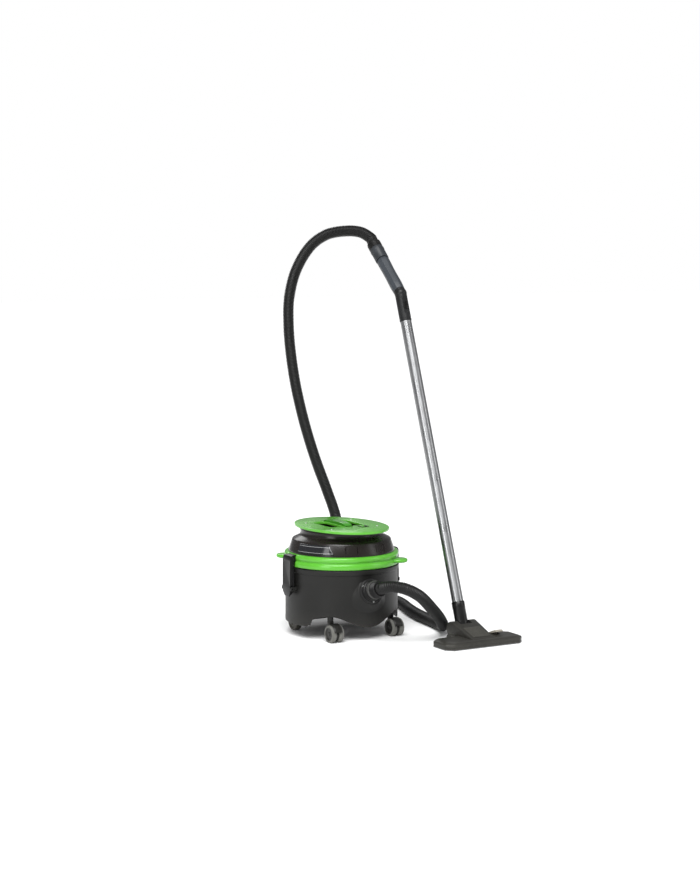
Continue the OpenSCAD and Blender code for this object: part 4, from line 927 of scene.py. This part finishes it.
slider = swung(block("bleed_slider_tab", (-7.5, -21.6, 1003), (7.5, -19.2, 1027)), (-WAND_LEAN, 0, 0), at(0, 0, 0), wand_base)
ridges = [
    swung(block("ridge", (-6.4, -22.7, s - 0.8), (6.4, -21, s + 0.8)), (-WAND_LEAN, 0, 0), at(0, 0, 0), wand_base)
    for s in range(1007, 1024, 4)
]
slider = joined(smoothed(slider, 0.8, 3), *(smoothed(ridge, 0.5, 2) for ridge in ridges))
fit(slider, acetal, "slider", "dark_plastic", "bleed_slider")
grip_pp = moulded("grip_blue_grey_polypropylene", "#3d4146", "#34383d", 0.42, 0.8, 0.04, ior=1.49, patch_mm=50)
grip = turned(
    "grip_eight_sided",
    [(14, 12), (17.6, 12), (19.2, 15), (20.2, 40), (19.5, 70), (19.4, 100), (20.4, 135), (20.2, 147), (18.6, 150), (14, 150), (14, 12)],
    grip_base, grip_axis, side=(1, 0, 0), steps=8,
)
spigot = turned("spigot", [(14, 149), (17, 149), (17, 211), (16.2, 212), (14, 212), (14, 149)], grip_base, grip_axis)
fit(joined(smoothed(grip, 2.2, 4), smoothed(spigot)), grip_pp, "tub", "grip_plastic", "handle_grip")
swivel_pp = moulded("swivel_grey_polypropylene", "#33363a", "#2a2d30", 0.4, 0.7, 0.03, ior=1.49, patch_mm=40)
swivel = turned(
    "swivel_sleeve_ring",
    [(17.2, 151), (20.4, 151), (21.4, 152), (21.5, 153), (21.5, 187.6), (22.1, 188.6), (22.5, 189.6), (22.5, 196), (22.1, 197), (21.5, 197.8),
     (21.5, 199.8), (20.6, 201), (17.2, 201), (17.2, 151)],
    grip_base, grip_axis,
)
fit(smoothed(swivel), swivel_pp, "swivel", "grip_plastic", "swivel_sleeve")


# ---- Floor tool's neck ----
# A black ABS elbow: its knuckle rocks on pins in the hood's fork, and its sleeve grips the wand's end.
# A duct leads down out of the knuckle towards the tool's mouth.
KNUCKLE_R = 19.7
neck_sleeve = turned(
    "nozzle_neck_sleeve",
    [(14.5, 0), (19.2, 0), (19.2, 60), (19.7, 61), (19.7, 79.6), (19, 81), (17.7, 81), (17.7, WAND_FROM), (14.5, WAND_FROM), (14.5, 0)],
    wand_base, wand_axis,
)
knuckle = rod("knuckle", KNUCKLE_R, 46, wand_base, (1, 0, 0), vertices=96)
duct_axis = Vector((0, -math.sin(WAND_LEAN + math.radians(80)), -math.cos(WAND_LEAN + math.radians(80))))
cut_by(knuckle, rod("bore", 14.5, 24, wand_base + wand_axis * 10 * MM, wand_axis), rod("duct", 13, 40, wand_base + duct_axis * 20 * MM, duct_axis))
for end in (-1, 1):
    cut_by(knuckle, rod("pin_hole", 4.2, 18, wand_base + Vector((end * 23 * MM, 0, 0)), (1, 0, 0), vertices=32))
fit(joined(smoothed(neck_sleeve), smoothed(knuckle, 1.2, 3)), black_abs, "tub", "neck_plastic", "nozzle_neck")


# ---- Floor tool ----
# A charcoal polypropylene cover in two steps with a shadow groove, and a hood that rises over the knuckle.
# Under it are a steel sole, two brush strips and two small wheels. The cover is open underneath.
TOOL_X, TOOL_Y, TOOL_HALF_W, TOOL_HALF_D, CORNER = 250, -378, 136, 52.5, 20
tool_levels = [(6.3, 0), (6.5, 0.8), (8.8, 0.8), (9.0, 0), (15.8, 0), (17.2, 0.6), (18.2, 2.0), (19.0, 4.4), (20.2, 6.2), (21.4, 8.6), (22, 12)]
corners = [(-1, -1, CORNER, 0), (1, -1, -CORNER, 0), (1, -1, 0, CORNER), (1, 1, 0, -CORNER), (1, 1, -CORNER, 0), (-1, 1, CORNER, 0), (-1, 1, 0, -CORNER),
           (-1, -1, 0, CORNER)]
housing = drawn(
    "nozzle_cover", [at(TOOL_X + sx * TOOL_HALF_W + dx, TOOL_Y + sy * TOOL_HALF_D + dy, 2.6) for sx, sy, dx, dy in corners], Vector((0, 0, 1.4 * MM))
)
only(housing)
bpy.ops.object.mode_set(mode="EDIT")
pick(housing, lambda e: abs(e.verts[0].co.z - e.verts[1].co.z) > 1 * MM, "EDGE")
bpy.ops.mesh.bevel(offset=3 * MM, segments=4, affect="EDGES")
pick(housing, lambda f: f.normal.z > 0.9, "FACE")
height, inset = 4.0, 0.0
for z, in_by in tool_levels:
    bpy.ops.mesh.extrude_region_move(TRANSFORM_OT_translate={"value": (0, 0, (z - height) * MM)})
    bpy.ops.transform.resize(
        value=((TOOL_HALF_W - in_by) / (TOOL_HALF_W - inset), (TOOL_HALF_D - in_by) / (TOOL_HALF_D - inset), 1), center_override=at(TOOL_X, TOOL_Y, z)
    )
    height, inset = z, in_by
pick(housing, lambda f: f.normal.z < -0.9 and f.calc_center_median().z < 3 * MM, "FACE")
bpy.ops.mesh.delete(type="FACE")
bpy.ops.mesh.select_all(action="SELECT")
bpy.ops.mesh.normals_make_consistent(inside=False)
bpy.ops.object.mode_set(mode="OBJECT")
wall = housing.modifiers.new("wall", "SOLIDIFY")
wall.thickness, wall.offset = 2.4 * MM, -1
bpy.ops.object.modifier_apply(modifier=wall.name)
HOOD_REAR, HOOD_FRONT, HOOD_SLOPE = (-296, 34, 24), (-412.5, 16, 6), 17.56
hood_turns = [(HOOD_REAR, HOOD_SLOPE + 90 - (180 + HOOD_SLOPE) * k / 24) for k in range(25)]
hood_turns += [(HOOD_FRONT, 270 - (180 - HOOD_SLOPE) * k / 8) for k in range(9)]
hood_outline = [(y + r * math.cos(math.radians(turn)), z + r * math.sin(math.radians(turn))) for (y, z, r), turn in hood_turns]
hood = drawn("hood", [at(TOOL_X - 44, y, z) for y, z in hood_outline], Vector((88 * MM, 0, 0)))
only(hood)
bpy.ops.object.mode_set(mode="EDIT")
pick(hood, lambda v: v.co.y < at(0, -400, 0).y)
bpy.ops.transform.resize(value=(76 / 88, 1, 1), center_override=at(TOOL_X, TOOL_Y, 16))
bpy.ops.object.mode_set(mode="OBJECT")
smoothed(hood, 3.4, 4, 60)
fork = block("fork", (TOOL_X - 20.7, -316.7, 13.3), (TOOL_X + 20.7, -236, 120))
PEDAL_X, PEDAL_PIN = 322, (-350, 16)
cut_by(hood, rod("knuckle_room", 20.2, 47, wand_base, (1, 0, 0), vertices=96), fork)
cut_by(housing, rod("knuckle_room", 20.2, 47, wand_base, (1, 0, 0), vertices=96))
cut_by(housing, block("pedal_slot", (PEDAL_X - 14, -372, 12), (PEDAL_X + 14, -344, 30)))
SMALL_R, SMALL_W, SMALL_X, SMALL_Y = 12, 7, 58, -321.5
wheel_rooms = []
for side in (-1, 1):
    room = rod("wheel_housing", SMALL_R + 3, SMALL_W + 8, at(TOOL_X + side * SMALL_X, SMALL_Y, SMALL_R), (1, 0, 0))
    cut_by(room, rod("wheel_room", SMALL_R + 1, SMALL_W + 1, at(TOOL_X + side * SMALL_X, SMALL_Y, SMALL_R), (1, 0, 0)))
    cut_by(room, block("below", (TOOL_X + side * SMALL_X - 20, SMALL_Y - 20, -10), (TOOL_X + side * SMALL_X + 20, SMALL_Y + 20, 2.6)))
    cut_by(housing, rod("wheel_room", SMALL_R + 1, SMALL_W + 1, at(TOOL_X + side * SMALL_X, SMALL_Y, SMALL_R), (1, 0, 0)))
    wheel_rooms.append(smoothed(room, 0.6, 2))
tool_pp = moulded("floor_tool_charcoal_polypropylene", "#272724", "#1e1e1c", 0.4, 0.9, 0.04, ior=1.49, patch_mm=90, dusty=0.15)
housing = joined(smoothed(housing), hood, *wheel_rooms)
fit(housing, tool_pp, "floor_tool", "tool_plastic", "nozzle_housing")
slope = math.radians(HOOD_SLOPE)
hood_foot = (HOOD_FRONT[0] - HOOD_FRONT[2] * math.sin(slope), HOOD_FRONT[1] + HOOD_FRONT[2] * math.cos(slope))


def on_slope(x, along_slope, off):
    """A point on the hood's sloping top, in mm up the slope and off it."""
    return at(
        TOOL_X + x, hood_foot[0] + along_slope * math.cos(slope) - off * math.sin(slope),
        hood_foot[1] + along_slope * math.sin(slope) + off * math.cos(slope),
    )


foot_panel = smoothed(drawn("hood_panel", [on_slope(-30, s, h) for s, h in ((16, 0), (76, 0), (76, 1.6), (16, 1.6))], Vector((60 * MM, 0, 0))), 0.7, 3)
ribs = [
    smoothed(drawn("rib", [on_slope(x - 1, s, h) for s, h in ((18, 1), (74, 1), (74, 2.4), (18, 2.4))], Vector((2 * MM, 0, 0))), 0.6, 2)
    for x in range(-27, 28, 6)
]
panel_pp = moulded("hood_panel_grey_polypropylene", "#45443f", "#3b3a36", 0.45, 0.7, 0.03, ior=1.49, patch_mm=40)
fit(joined(foot_panel, *ribs), panel_pp, "floor_tool", "tool_panel", "nozzle_panel")


# ---- Pedal, brush and small wheels ----
# A pale foot pedal lifts the brush frame and its two strips of nylon tufts.
# The tool rolls on two small grey wheels at its back.
pedal_outline = [(-36, 16), (-35.4, 18.6), (-34, 20), (-31, 20.8), (-28, 21), (-10, 14.6), (2, 10), (4, 4), (3, -3), (-3, -3), (-4, 6)]
pedal = drawn("foot_pedal", [at(PEDAL_X - 13, PEDAL_PIN[0] + y, PEDAL_PIN[1] + z) for y, z in pedal_outline], Vector((26 * MM, 0, 0)))
pedal_abs = moulded("pedal_pale_grey_abs", "#a19c90", "#928d82", 0.34, 0.6, 0.02, ior=1.54, patch_mm=20)
fit(smoothed(pedal, 0.9, 3, 25), pedal_abs, "pedal", "pedal_plastic", "pedal")
for side, body, node in ((-1, "nozzle_wheel_l", "nozzle_wheel_left"), (1, "nozzle_wheel_r", "nozzle_wheel_right")):
    small = turned(
        f"{body}_disc",
        [(1.7, 3.5), (4, 3.5), (4.4, 3), (8.4, 3), (8.8, 3.5), (11.2, 3.5), (12, 2.7), (12, -2.7), (11.2, -3.5), (8.8, -3.5), (8.4, -3), (4.4, -3),
         (4, -3.5), (1.7, -3.5), (1.7, 3.5)],
        at(TOOL_X + side * SMALL_X, SMALL_Y, SMALL_R), (1, 0, 0), steps=48,
    )
    fit(smoothed(small), tread_grey, body, "tread_rubber", node)
# Galvanised steel sole, rubbed bright along the way that the tool is pushed
sole_steel = worn_metal("sole_rubbed_steel", ("#7c7d7d", "#5c5d5e"), 0.36, 0.5, 30, turn=(math.radians(90), 0, 0))
dress(sole_steel, "sole_plate")
dress(black_nylon, "brush_carrier")
# Nylon bristles: dark strands that run up and down
bristle_nylon, tree, output, place = material("brush_dark_nylon_bristles")
strands_at = add_node(tree, "Mapping", {"Scale": (3600.0, 3600.0, 60.0)}, {"Vector": (place, "Object")})
strands = add_node(tree, "TexNoise", {"Scale": 1.0, "Detail": 2.0}, {"Vector": (strands_at, "Vector")})
strand_shades = add_node(tree, "ValToRGB", None, {"Fac": (strands, "Fac")})
strand_shades.color_ramp.elements[0].position, strand_shades.color_ramp.elements[0].color = 0.4, srgb("#0c0c0c")
strand_shades.color_ramp.elements[1].position, strand_shades.color_ramp.elements[1].color = 0.62, srgb("#3a3937")
strand_relief = add_node(tree, "Bump", {"Strength": 1.0, "Distance": 0.3 * MM}, {"Height": (strands, "Fac")})
bristle_shader = add_node(
    tree, "BsdfPrincipled", {"Roughness": 0.5, "IOR": 1.53}, {"Base Color": (strand_shades, "Color"), "Normal": (strand_relief, "Normal")}
)
tree.links.new(bristle_shader.outputs["BSDF"], output.inputs["Surface"])
dress(bristle_nylon, "brush_strips")
